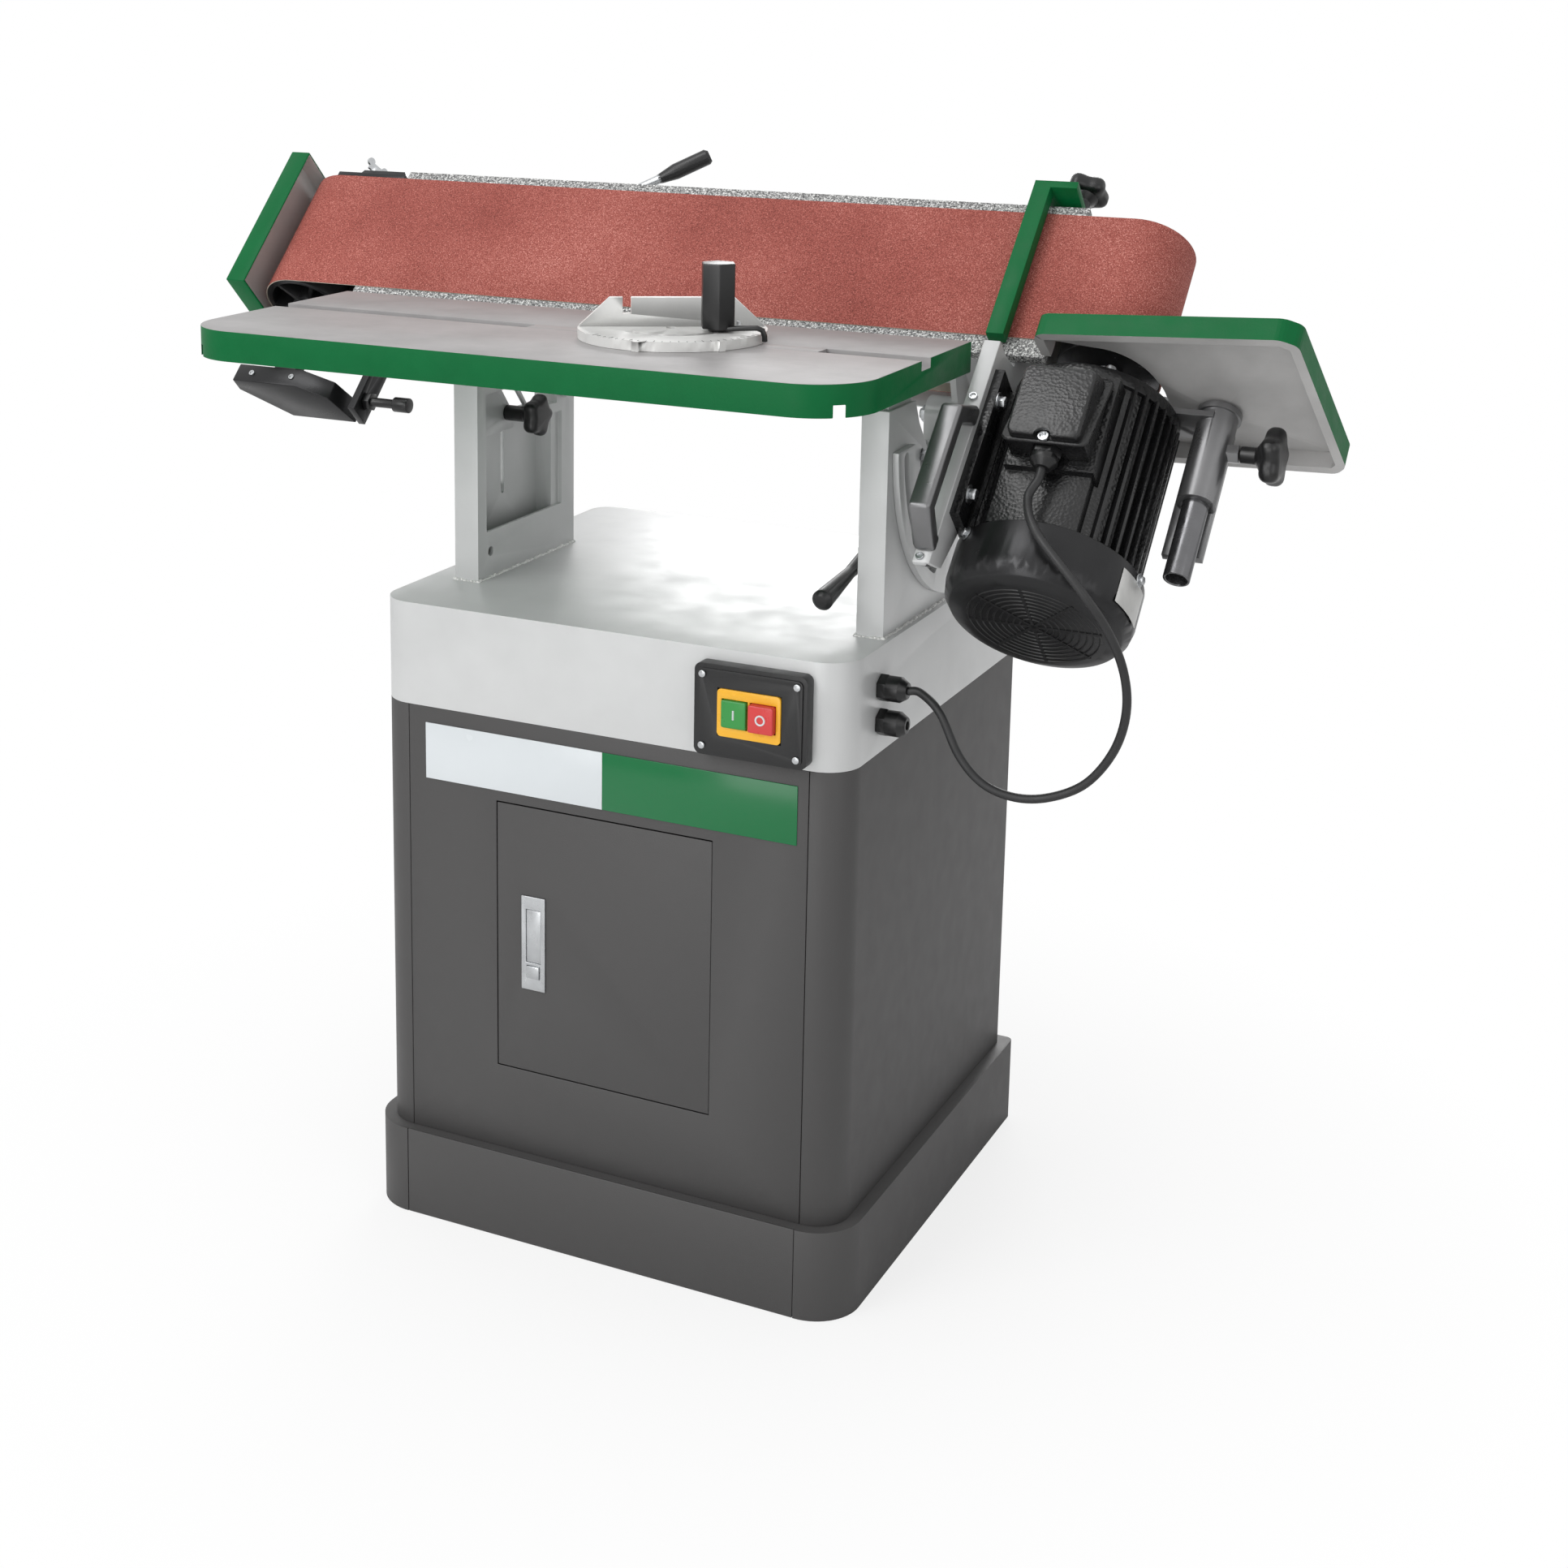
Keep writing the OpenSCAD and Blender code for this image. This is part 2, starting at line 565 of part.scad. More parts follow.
module motor_stator() color(black) on_unit() difference() {
  union() {
    translate([drive_x, axis_y, fan_top]) cylinder(r = motor_r - 8, h = stator_l - 6);
    translate([drive_x, axis_y, motor_top - 12]) cylinder(r = motor_r - 3, h = 12);
    for (a = [-50:9:235]) if (abs(a - 180) > 35 && abs(a + 90 - 0) > 36) translate([drive_x, axis_y, fan_top])
      rotate([0, 0, a]) translate([motor_r - 12, -1.5, 0]) cube([12, 3, stator_l - 11]);
    // feet on the bracket side
    translate([foot_x, -28, fan_top + 2]) cube([9, 50, stator_l - 18]);
    translate([foot_x, axis_y + 28, fan_top + 6]) cube([9, 44, stator_l - 22]);
    for (s = [-1, 1]) translate([foot_x + 5, axis_y + s * 38 - 8, fan_top + 7])
      cube([30, 16, stator_l - 24]);
    // pad that carries the terminal box
    translate([drive_x - 41, axis_y - motor_r - 2, motor_top - 120]) cube([82, 40, 104]);
    translate([drive_x - 44, axis_y - motor_r + 6, fan_top + 1]) cube([82, 36, stator_l - 17]);
  }
  translate([drive_x, axis_y, fan_top - 1]) cylinder(r = shaft_r + fit, h = stator_l + 2);
}
module fan_cover() color(black) on_unit() translate([drive_x, axis_y, fan_top - fan_l])
  rotate_extrude() polygon([[0, 0], [fan_r - 20, 0], [fan_r - 8, 4], [fan_r - 2, 12], [fan_r, 22],
    [fan_r, fan_l - seat], [fan_r - 3, fan_l - seat], [fan_r - 3, 22], [fan_r - 5, 14],
    [fan_r - 10, 8], [fan_r - 21, 4], [0, 4]]);
box_x = drive_x - 1;                  // middle of the terminal box
box_y = axis_y - motor_r - 2;         // pad that the terminal box stands on
gland_q = -44.5;
gland_v = motor_top - 103;
module terminal_box() color(black) on_unit() difference() {
  translate([box_x - 36, 0, 0]) along_x() linear_extrude(72)
    polygon([[box_y, -67], [box_y, -151], [-57.06, -151], [-33.06, -67]]);
  translate([box_x - 31, 0, 0]) along_x() linear_extrude(62)
    polygon([[-35, -95], [-35, -146], [-70, -146], [-70, -95]]);
  translate([box_x, gland_q, gland_v - 10]) cylinder(r = 8.3, h = 12);
}
// slanted lip and raised face, with a notch for the screw
module terminal_lid() color(black) on_unit() difference() {
  union() {
    translate([box_x - 39.5, 0, 0]) along_x() linear_extrude(79)
      polygon([[-58.5, -155], [-62.5, -155], [-36.5, -64], [-32.5, -64]]);
    translate([box_x - 33, 0, 0]) along_x() linear_extrude(66)
      polygon([[-60, -153], [-70, -151.5], [-70, -79], [-38, -66], [-36, -66]]);
  }
  translate([box_x, -62.5, -154]) rotate([90, 0, 0]) cylinder(r = 9, h = 12);
}
module motor_gland() color(black) on_unit() translate([box_x, gland_q, gland_v])
  rotate([180, 0, 0]) difference() {
    union() {
      cylinder(r = 8, h = 6.3);
      translate([0, 0, 6.3]) cylinder(r = 14, h = 8, $fn = 6);
      translate([0, 0, 14.3]) cylinder(r = 12.5, h = 5);
      translate([0, 0, 19.3]) cylinder(r1 = 12.5, r2 = 7, h = 7);
    }
    translate([0, 0, -1]) cylinder(r = 4.3, h = 10);
  }
module rating_plate() color([0.8, 0.8, 0.8]) on_unit() translate([drive_x, axis_y, fan_top - 43])
  linear_extrude(34) intersection() {
    difference() { circle(fan_r + 0.9); circle(fan_r + 0.2); }
    polygon([[0, 0], [200 * cos(-27), 200 * sin(-27)], [220, 0], [200 * cos(3), 200 * sin(3)]]);
  }
module sleeve_bracket() color(black) on_unit() difference() {
  union() {
    translate([col_x, col_y, col_top - sleeve_l]) cylinder(r = sleeve_r, h = sleeve_l);
    translate([col_x, col_y, col_top - 6]) cylinder(r = sleeve_r + 2.5, h = 6);
    translate([col_x - 22, col_y + 11, col_top - 150]) cube([36, 8, 138]);
    translate([drive_x + 50, col_y - 20, motor_top + 0.3]) cube([col_x - drive_x - 50, 39, 6]);
    // boss for the clamp knob
    translate([col_x + sleeve_r - 3, col_y, knob_v]) rotate([0, 90, 0])
      cylinder(r = 9, h = 12, $fn = 6);
  }
  translate([col_x, col_y, col_top - 200]) cylinder(r = column_r + fit, h = 300);
  translate([col_x, col_y, knob_v]) rotate([0, 90, 0]) cylinder(r = 4 + fit, h = 60);
}

// turning drums
module drive_drum() color(steel) on_unit() translate([drive_x, axis_y, 0]) difference() {
  union() {
    translate([0, 0, 0.5]) cylinder(r = drum_r, h = belt_w - 1);
    translate([0, 0, fan_top - 50]) cylinder(r = shaft_r, h = belt_w - fan_top + 48);
    translate([0, 0, fan_top - 40]) cylinder(r = fan_r - 14, h = 26);
    translate([0, 0, -34]) cylinder(r = 16, h = 36);
  }
  translate([0, 0, belt_w - 20]) difference() {
    cylinder(r = drum_r - 6, h = 22);
    translate([0, 0, -1]) cylinder(r = 18, h = 24);
  }
}
yoke_low = -22;
module idler_yoke() color(black) on_unit() union() {
  translate([-540, 28, belt_w + 20]) cube([89, 46, 8]);
  // block under the wing screw
  translate([0, 60, belt_w + 27]) rotate([90, 0, 0]) linear_extrude(28)
    polygon([[-516, 0], [-451, 0], [-457, 8], [-511, 8]]);
  translate([-530, 36, yoke_low]) cube([79, 30, 8]);
  translate([-459, 36, yoke_low]) cube([8, 30, belt_w + 46]);
  // rod into the beam
  translate([-455, axis_y, belt_w / 2]) rotate([0, 90, 0]) cylinder(r = 9, h = 85);
  // fixed shaft
  translate([idler_x, axis_y, yoke_low + 4]) cylinder(r = 10, h = belt_w + 40);
  // post down to the cover
  translate([idler_x - 14, 60, -106 + seat]) cube([28, 14, 90 - seat]);
}
module idler_cover() color(black) on_unit() translate([0, 0, -108]) difference() {
  linear_extrude(22) polygon([[-556, 44], [-474, 44], [-440, 62], [-424, 104], [-506, 104], [-556, 62]]);
  translate([0, 0, 2]) linear_extrude(30) polygon([[-554, 46], [-475, 46], [-442, 63], [-427, 102],
    [-505, 102], [-554, 61]]);
}
module idler_drum() color(black) on_unit() translate([idler_x, axis_y, 0]) difference() {
  translate([0, 0, 0.5]) cylinder(r = drum_r, h = belt_w - 1);
  translate([0, 0, -1]) cylinder(r = 10 + fit, h = belt_w + 2);
  for (z = [-1, belt_w - 20]) translate([0, 0, z]) difference() {
    cylinder(r = drum_r - 6, h = 21);
    translate([0, 0, -1]) cylinder(r = 18, h = 24);
    for (a = [0:60:300]) rotate([0, 0, a]) translate([0, -2, -1]) cube([drum_r, 4, 24]);
  }
}
lever_x = -228;
module tension_lever() color(black) on_unit() translate([lever_x, 50, beam_top + 18]) union() {
  translate([0, 6.3, 0]) rotate([-90, 0, 0]) cylinder(r = 10, h = 10);
  translate([0, 11.6, 0]) rotate([0, 53, 0]) union() {
    cylinder(r = 5, h = 88);
    translate([0, 0, 86]) cylinder(r1 = 5.2, r2 = 8.7, h = 20);
    translate([0, 0, 106]) cylinder(r = 8.7, h = 38);
    translate([0, 0, 144]) cylinder(r1 = 8.7, r2 = 6.5, h = 3);
  }
}
module wing_screw() color(steel) on_unit() translate([-504, 42, belt_w + 35.3]) rotate([0, 0, 65])
  union() {
    cylinder(r = 6, h = 8);
    translate([-10, -1.5, 4]) cube([20, 3, 9]);
    for (s = [-1, 1]) translate([s * 10, 1.5, 13]) rotate([90, 0, 0]) cylinder(r = 4.5, h = 3);
  }
module tension_screw() color(steel) on_unit() translate([-410.5, 75, -98]) rotate([0, 90, 0]) union() {
  cylinder(r = 5, h = 62);
  translate([0, 0, 9.8]) cylinder(r = 10, h = 8, $fn = 6);
  translate([0, 0, 46]) cylinder(r = 8, h = 18);
}
module stop_bar() color(green) on_unit() difference() {
  union() {
    translate([stop_x - 27, -18, -10]) cube([17, 14, 186]);
    translate([stop_x - 27, -18, 168.3]) cube([43, 92, 8]);
  }
  translate([stop_x, 48, 160]) union() {
    translate([-4.3, 0, 0]) cube([8.6, 22, 30]);
    cylinder(r = 4.3, h = 30);
    translate([0, 22, 0]) cylinder(r = 4.3, h = 30);
  }
}
module stop_knob() color(black) on_unit() translate([stop_x, 50, 176.6]) union() {
  translate([0, 0, -24]) cylinder(r = 4, h = 26);
  star_knob(24, 29, 16);
}

// contour table
rim = 24;
module contour_shape() polygon([[346, -37], [352, -44], [572, -62], [588, -54], [611, 126], [602, 138],
  [380, 150], [366, 140]]);
module contour_table() color(green) on_unit() translate([0, 0, -2 - rim]) union() {
  difference() {
    linear_extrude(rim) contour_shape();
    translate([0, 0, -1]) linear_extrude(rim - 7) polygon([[358, -34], [570, -53], [580, -48],
      [602, 124], [596, 130], [386, 142], [374, 134], [372, 116], [440, 112], [464, 80], [464, 20],
      [440, -12], [358, -16]]);
    // cut-out round the drive drum
    translate([drive_x, axis_y, -1]) cylinder(r = drum_r + 12, h = rim + 2);
    translate([300, axis_y - drum_r - 12, -1]) cube([drive_x - 300, 2 * drum_r + 24, rim + 2]);
  }
  // boss round the column
  translate([col_x, col_y, 6]) cylinder(r = 24, h = rim - 10);
}
module contour_column() color(steel) on_unit() difference() {
  translate([col_x, col_y, -205]) cylinder(r = column_r, h = 205 - rim + 4 - 0.1);
  translate([col_x, col_y, -206]) cylinder(r = column_r - 2.5, h = 205 - rim - 12);
}
module contour_knob() color(black) on_unit() translate([col_x + column_r + 0.3, col_y, knob_v])
  rotate([0, 90, 0]) union() {
    cylinder(r = 4, h = 24);
    translate([0, 0, 16]) star_knob(26, 14, 16);
  }

// motor lead
lead_r = 4;
gland_end = [cab_x + 27.3, gland_y, gland_z[0]];
// end of the motor gland, from the unit frame to the floor frame
mg = [box_x, gland_q, gland_v - 26.3];
motor_end = [mg[0], unit_y + mg[1] * cs + mg[2] * sn, unit_z - mg[1] * sn + mg[2] * cs];
aim = [0, sn, cs];
lead_points = [gland_end, gland_end + [12, 0, 0], [312, -168, 590], [334, -176, 556],
  [358, -178, 534], [388, -178, 526], [420, -177, 531], [452, -176, 549], [476, -178, 583],
  [488, -188, 623], [487, -200, 663], [474, -212, 701], [450, -222, 738],
  motor_end - 62 * aim + [14, -9, 0], motor_end - 32 * aim + [-3, -3, 0],
  motor_end - 12 * aim, motor_end];
function unit(v) = v / norm(v);
function spline(p, i, t) = let (a = p[max(i - 1, 0)], b = p[i], c = p[i + 1], d = p[min(i + 2, len(p) - 1)])
  0.5 * (2 * b + (c - a) * t + (2 * a - 5 * b + 4 * c - d) * t * t + (3 * b - a - 3 * c + d) * t * t * t);
lead_path = [for (i = [0:len(lead_points) - 2]) for (k = [0:2]) spline(lead_points, i, k / 3),
  lead_points[len(lead_points) - 1]];
module tube(p, r, n) {
  m = len(p);
  tan = [for (i = [0:m - 1]) i == 0 ? [1, 0, 0] : i == m - 1 ? aim : unit(p[i + 1] - p[i - 1])];
  side = [for (i = [0:m - 1]) unit(cross(tan[i], [0.05, 1, 0.02]))];
  pts = [for (i = [0:m - 1]) let (u = side[i], v = cross(tan[i], side[i]))
    for (k = [0:n - 1]) p[i] + r * (cos(k * 360 / n) * u + sin(k * 360 / n) * v)];
  polyhedron(points = pts, convexity = 8, faces = concat([[for (k = [0:n - 1]) k]],
    [for (i = [0:m - 2]) for (k = [0:n - 1]) let (a = i * n + k, b = i * n + (k + 1) % n)
      each [[a, a + n, b], [b, a + n, b + n]]],
    [[for (k = [n - 1:-1:0]) (m - 1) * n + k]]));
}
module motor_lead() color(black) tube(lead_path, lead_r, 10);

floor_pan();
plinth_shell();
plinth_front();
cabinet_shell();
front_panel();
top_housing();
left_post();
right_post();
badge_left();
badge_right();
switch_box();
switch_plate();
start_button();
stop_button();
switch_screws();
cable_glands();
pivot_bolts();
clamp_lever();
door_panel();
latch_plate();
latch_paddle();
latch_button();
table_top();
left_table_bracket();
right_table_bracket();
left_lock_knob();
right_lock_knob();
lock_bolts();
mitre_bar();
mitre_head();
mitre_handle();
main_beam();
pivot_ear();
tilt_sector();
platen();
sanding_belt();
rear_guard();
left_guard();
motor_bracket();
grip_handle();
motor_stator();
fan_cover();
terminal_box();
terminal_lid();
motor_gland();
rating_plate();
sleeve_bracket();
drive_drum();
idler_yoke();
idler_cover();
idler_drum();
tension_lever();
wing_screw();
tension_screw();
stop_bar();
stop_knob();
contour_table();
contour_column();
contour_knob();
motor_lead();
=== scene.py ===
"""Edge sander with a tilting belt: finishes, small pieces, light and camera."""
import json
from math import atan2, cos, hypot, pi, radians, sin

import bpy
from mathutils import Matrix, Vector


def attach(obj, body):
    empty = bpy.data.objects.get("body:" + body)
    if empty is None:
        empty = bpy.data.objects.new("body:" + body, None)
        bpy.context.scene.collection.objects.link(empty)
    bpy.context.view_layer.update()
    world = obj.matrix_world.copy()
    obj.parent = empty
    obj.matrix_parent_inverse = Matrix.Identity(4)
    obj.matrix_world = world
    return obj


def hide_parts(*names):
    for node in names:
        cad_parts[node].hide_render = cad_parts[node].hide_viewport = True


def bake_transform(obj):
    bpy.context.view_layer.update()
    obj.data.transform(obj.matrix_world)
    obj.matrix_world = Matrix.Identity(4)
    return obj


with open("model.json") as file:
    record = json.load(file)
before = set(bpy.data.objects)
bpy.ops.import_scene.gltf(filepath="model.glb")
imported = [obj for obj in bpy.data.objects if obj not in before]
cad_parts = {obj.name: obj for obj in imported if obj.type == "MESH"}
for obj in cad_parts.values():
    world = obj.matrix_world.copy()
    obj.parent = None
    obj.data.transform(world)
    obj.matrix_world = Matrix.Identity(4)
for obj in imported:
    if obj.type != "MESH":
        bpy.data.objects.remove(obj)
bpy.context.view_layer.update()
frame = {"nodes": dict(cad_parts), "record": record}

MM = 0.001


def mm(x, y, z):
    """A place or a size in millimetres, turned into metres."""
    return Vector((x, y, z)) * MM


# Places on the stand, in metres; x runs along the table, y away from the operator.
TABLE_HEIGHT = 0.914
SLOT_MIDDLE = -0.176
MITRE_X = 0.042
HOUSING_FRONT = -0.235
SWITCH_HEIGHT = 0.587
START_X = 0.146
STOP_X = 0.174
LOCK_Y = -0.049
LOCK_HEIGHT = 0.800
LEFT_LOCK_X = -0.2094
RIGHT_LOCK_X = 0.2334

# Posts and the weld round their feet, in millimetres
LEFT_POST = (-219, -192)                # outer and inner face
RIGHT_POST = (243, 216)
POST_FRONT = -137
POST_BACK = 63
WELD_HEIGHT = 642

# The belt unit, in millimetres. It leans back: x runs along the table, q back from the belt's
# face, v up along the drums.
LEAN = radians(45)
UNIT_PLACE = Vector((0, -0.003, 0.912))
UNIT = Matrix.Translation(UNIT_PLACE) @ Matrix.Rotation(-LEAN, 4, "X")
UNIT_TURN = UNIT.to_3x3().inverted()
UNIT_OUT = Vector((0, -cos(LEAN), sin(LEAN)))     # out from the belt's face
UNIT_UP = Vector((0, sin(LEAN), cos(LEAN)))       # up along the drums
DRUM_BACK = 50.5                        # q of both drums' axes
DRIVE_X = 394
IDLER_X = -510
MOTOR_TOP = -42
FAN_TOP = -219
FAN_END = -276
FAN_RADIUS = 86
LID_X = DRIVE_X - 1                     # middle of the terminal box and its gland


def unit_point(x, q, v):
    """The place in metres of a point of the belt unit."""
    return UNIT @ mm(x, q, v)


# Camera

def stand_camera():
    """Looks from the front right and a little above. The lengths of the picture are in pixels."""
    image_side = 1932
    focal = 2979
    middle_x = 770
    middle_y = 580
    sensor = 36
    yaw = radians(27.36)
    pitch = radians(11.94)
    roll = radians(0.37)
    back = Vector((sin(yaw) * cos(pitch), -cos(yaw) * cos(pitch), sin(pitch)))
    right = (-back).cross(Vector((0, 0, 1))).normalized()
    up = right.cross(-back)
    across = cos(roll) * right + sin(roll) * up
    upward = cos(roll) * up - sin(roll) * right
    bpy.ops.object.camera_add(location=(1.021, -2.162, 1.256))
    camera = bpy.context.object
    camera.name = "camera"
    camera.rotation_mode = "QUATERNION"
    camera.rotation_quaternion = Matrix((across, upward, back)).transposed().to_quaternion()
    camera.data.sensor_width = sensor
    camera.data.lens = focal * sensor / image_side
    camera.data.shift_x = (image_side / 2 - middle_x) / image_side
    camera.data.shift_y = (middle_y - image_side / 2) / image_side
    camera.data.clip_end = 50
    bpy.context.scene.camera = camera


# Finishes

def colour(red, green, blue):
    """A colour as a picture editor shows it, turned into the light that the shader wants."""
    return [c / 255 / 12.92 if c < 11 else ((c / 255 + 0.055) / 1.055) ** 2.4 for c in (red, green, blue)]


NOISE_RANGE = (0.3, 0.7)                # where nearly all values of a noise pattern lie


class Finish:
    """A material under construction; its patterns lie on the piece's own coordinates, in metres."""

    def __init__(self, name, base, roughness, metallic=0.0):
        self.material = bpy.data.materials.new(name)
        self.material.use_nodes = True
        self.tree = self.material.node_tree
        self.shader = self.tree.nodes["Principled BSDF"]
        self.base = base
        self.shader.inputs["Base Color"].default_value = (*base, 1)
        self.shader.inputs["Roughness"].default_value = roughness
        self.shader.inputs["Metallic"].default_value = metallic
        self.place = self.tree.nodes.new("ShaderNodeTexCoord").outputs["Object"]

    def add(self, kind, **values):
        node = self.tree.nodes.new(kind)
        for key, value in values.items():
            if key in node.inputs:
                node.inputs[key].default_value = value
            else:
                setattr(node, key, value)
        return node

    def join(self, out, into):
        self.tree.links.new(out, into)

    def noise(self, scale, detail=2.0, roughness=0.5, stretch=None):
        place = self.place
        if stretch:
            mapping = self.add("ShaderNodeMapping", Scale=stretch)
            self.join(place, mapping.inputs["Vector"])
            place = mapping.outputs["Vector"]
        noise = self.add("ShaderNodeTexNoise", Scale=scale, Detail=detail, Roughness=roughness)
        self.join(place, noise.inputs["Vector"])
        return noise.outputs["Fac"]

    def cells(self, scale):
        cells = self.add("ShaderNodeTexVoronoi", Scale=scale)
        self.join(self.place, cells.inputs["Vector"])
        return cells.outputs["Distance"]

    def spread(self, value, low, high, new_low, new_high):
        spread = self.add("ShaderNodeMapRange")
        for name, number in zip(("From Min", "From Max", "To Min", "To Max"), (low, high, new_low, new_high)):
            spread.inputs[name].default_value = number
        self.join(value, spread.inputs["Value"])
        return spread.outputs["Result"]

    def paint(self, value, stops):
        """Colours along a ramp, driven by value; stops are (position, colour)."""
        ramp = self.add("ShaderNodeValToRGB")
        while len(ramp.color_ramp.elements) < len(stops):
            ramp.color_ramp.elements.new(0.5)
        for element, (position, tint) in zip(ramp.color_ramp.elements, stops):
            element.position = position
            element.color = (*tint, 1)
        self.join(value, ramp.inputs["Fac"])
        self.join(ramp.outputs["Color"], self.shader.inputs["Base Color"])
        return ramp.outputs["Color"]

    def mixture(self, first, first_share, second):
        """Two patterns in one, each spread over its share of the way from 0 to 1."""
        both = self.add("ShaderNodeMath", operation="ADD")
        self.join(self.spread(first, *NOISE_RANGE, 0.0, first_share), both.inputs[0])
        self.join(self.spread(second, *NOISE_RANGE, 0.0, 1 - first_share), both.inputs[1])
        return both.outputs[0]

    def vary(self, scale, amount, detail=3.0):
        """The base colour drifts a little lighter and darker."""
        darker = [c * (1 - amount) for c in self.base]
        lighter = [min(1, c * (1 + amount)) for c in self.base]
        low, high = NOISE_RANGE
        return self.paint(self.noise(scale, detail), [(low, darker), (high, lighter)])

    def gloss(self, scale, low, high):
        """The roughness drifts between low and high."""
        drift = self.spread(self.noise(scale, 4.0), *NOISE_RANGE, low, high)
        self.join(drift, self.shader.inputs["Roughness"])

    def relief(self, height, strength, distance):
        """Bumps from a pattern, distance in metres."""
        bump = self.add("ShaderNodeBump", Strength=strength, Distance=distance)
        self.join(height, bump.inputs["Height"])
        self.join(bump.outputs["Normal"], self.shader.inputs["Normal"])


def dark_powder_coat():
    coat = Finish("dark_powder_coat", colour(68, 67, 67), 0.5)
    coat.vary(5, 0.015)
    coat.gloss(40, 0.48, 0.54)
    coat.relief(coat.noise(1100, 3.0, 0.6), 0.35, 0.0004)
    return coat.material


def pale_enamel():
    coat = Finish("pale_enamel", colour(203, 204, 204), 0.36, 0.15)
    coat.vary(14, 0.035, 5.0)
    coat.gloss(25, 0.30, 0.44)
    coat.relief(coat.noise(420, 2.0), 0.18, 0.0003)
    return coat.material


def green_enamel():
    coat = Finish("green_enamel", colour(2, 96, 50), 0.35)
    coat.shader.inputs["Specular IOR Level"].default_value = 0.16
    coat.vary(30, 0.05)
    coat.gloss(60, 0.36, 0.48)
    coat.relief(coat.noise(520, 2.0), 0.3, 0.0004)
    return coat.material


def black_enamel():
    coat = Finish("black_enamel", colour(48, 48, 49), 0.3, 0.75)
    coat.vary(18, 0.15)
    coat.gloss(30, 0.27, 0.36)
    coat.relief(coat.noise(450, 2.0), 0.12, 0.0003)
    return coat.material


def gunmetal_enamel():
    """The polished dark coat of the handle and the sleeve, which mirrors the room softly."""
    coat = Finish("gunmetal_enamel", colour(126, 126, 127), 0.3, 0.8)
    coat.vary(20, 0.08)
    coat.gloss(28, 0.26, 0.36)
    coat.relief(coat.noise(380, 2.0), 0.1, 0.0003)
    return coat.material


def hammered_black():
    coat = Finish("hammered_black", colour(20, 20, 21), 0.3)
    coat.vary(22, 0.18)
    coat.gloss(35, 0.22, 0.36)
    coat.relief(coat.cells(330), 0.45, 0.0006)
    return coat.material


def black_plastic():
    moulding = Finish("black_plastic", colour(18, 18, 19), 0.34)
    moulding.vary(25, 0.12)
    moulding.gloss(50, 0.28, 0.4)
    moulding.relief(moulding.noise(900, 2.0), 0.22, 0.0003)
    return moulding.material


def lead_rubber():
    sheath = Finish("lead_rubber", colour(33, 33, 34), 0.5)
    sheath.vary(60, 0.12)
    sheath.gloss(80, 0.42, 0.58)
    sheath.relief(sheath.noise(1200, 2.0), 0.2, 0.0002)
    return sheath.material


def zinc_steel():
    steel = Finish("zinc_steel", colour(188, 190, 192), 0.3, 1.0)
    steel.vary(45, 0.09, 5.0)
    steel.gloss(120, 0.22, 0.4)
    steel.relief(steel.noise(700, 3.0), 0.12, 0.0002)
    return steel.material


def ground_iron():
    """Ground along the table: long fine streaks over faint mottling."""
    iron = Finish("ground_iron", colour(154, 152, 152), 0.5, 0.12)
    streaks = iron.noise(1.0, 6.0, 0.7, stretch=(7, 1100, 1100))
    marks = iron.noise(11, 6.0, 0.65)
    iron.paint(iron.mixture(streaks, 0.35, marks), [(0.1, colour(141, 139, 139)),
                                                    (0.5, colour(155, 153, 153)),
                                                    (0.9, colour(166, 164, 164))])
    iron.gloss(6, 0.46, 0.54)
    iron.relief(streaks, 0.16, 0.0002)
    return iron.material


def cast_alloy():
    alloy = Finish("cast_alloy", colour(222, 222, 220), 0.42, 0.25)
    alloy.vary(35, 0.03, 5.0)
    alloy.gloss(60, 0.34, 0.5)
    alloy.relief(alloy.noise(650, 3.0), 0.25, 0.0003)
    return alloy.material


def tray_casting():
    """The sandy underside of the contour table, in broad lighter and darker patches."""
    casting = Finish("tray_casting", colour(180, 179, 178), 0.5, 0.2)
    casting.paint(casting.noise(9, 5.0), [(0.25, colour(158, 157, 156)), (0.75, colour(202, 201, 200))])
    casting.gloss(30, 0.42, 0.6)
    casting.relief(casting.noise(380, 4.0, 0.6), 0.35, 0.0006)
    return casting.material


def turned_alloy():
    alloy = Finish("turned_alloy", colour(112, 112, 114), 0.25, 0.9)
    alloy.vary(60, 0.06)
    alloy.gloss(90, 0.16, 0.3)
    alloy.relief(alloy.noise(800, 2.0), 0.15, 0.0002)
    return alloy.material


def abrasive_grit():
    """Red-brown grain about a millimetre across, with pale and dark grains among it."""
    grit = Finish("abrasive_grit", colour(172, 90, 80), 0.85)
    grains = grit.noise(820, 3.0, 0.8)
    drift = grit.noise(5, 4.0, 0.6)
    grit.paint(grit.mixture(grains, 0.8, drift), [(0.08, colour(84, 34, 30)), (0.36, colour(140, 67, 58)),
                                                  (0.62, colour(172, 92, 82)),
                                                  (0.95, colour(238, 176, 164))])
    grit.relief(grains, 0.8, 0.0005)
    return grit.material


def belt_cloth():
    cloth = Finish("belt_cloth", colour(196, 186, 172), 0.85)
    cloth.vary(200, 0.08)
    cloth.gloss(150, 0.78, 0.9)
    weave = cloth.noise(900, 1.0, 0.5, stretch=(1, 2.5, 2.5))
    cloth.relief(weave, 0.4, 0.0003)
    return cloth.material


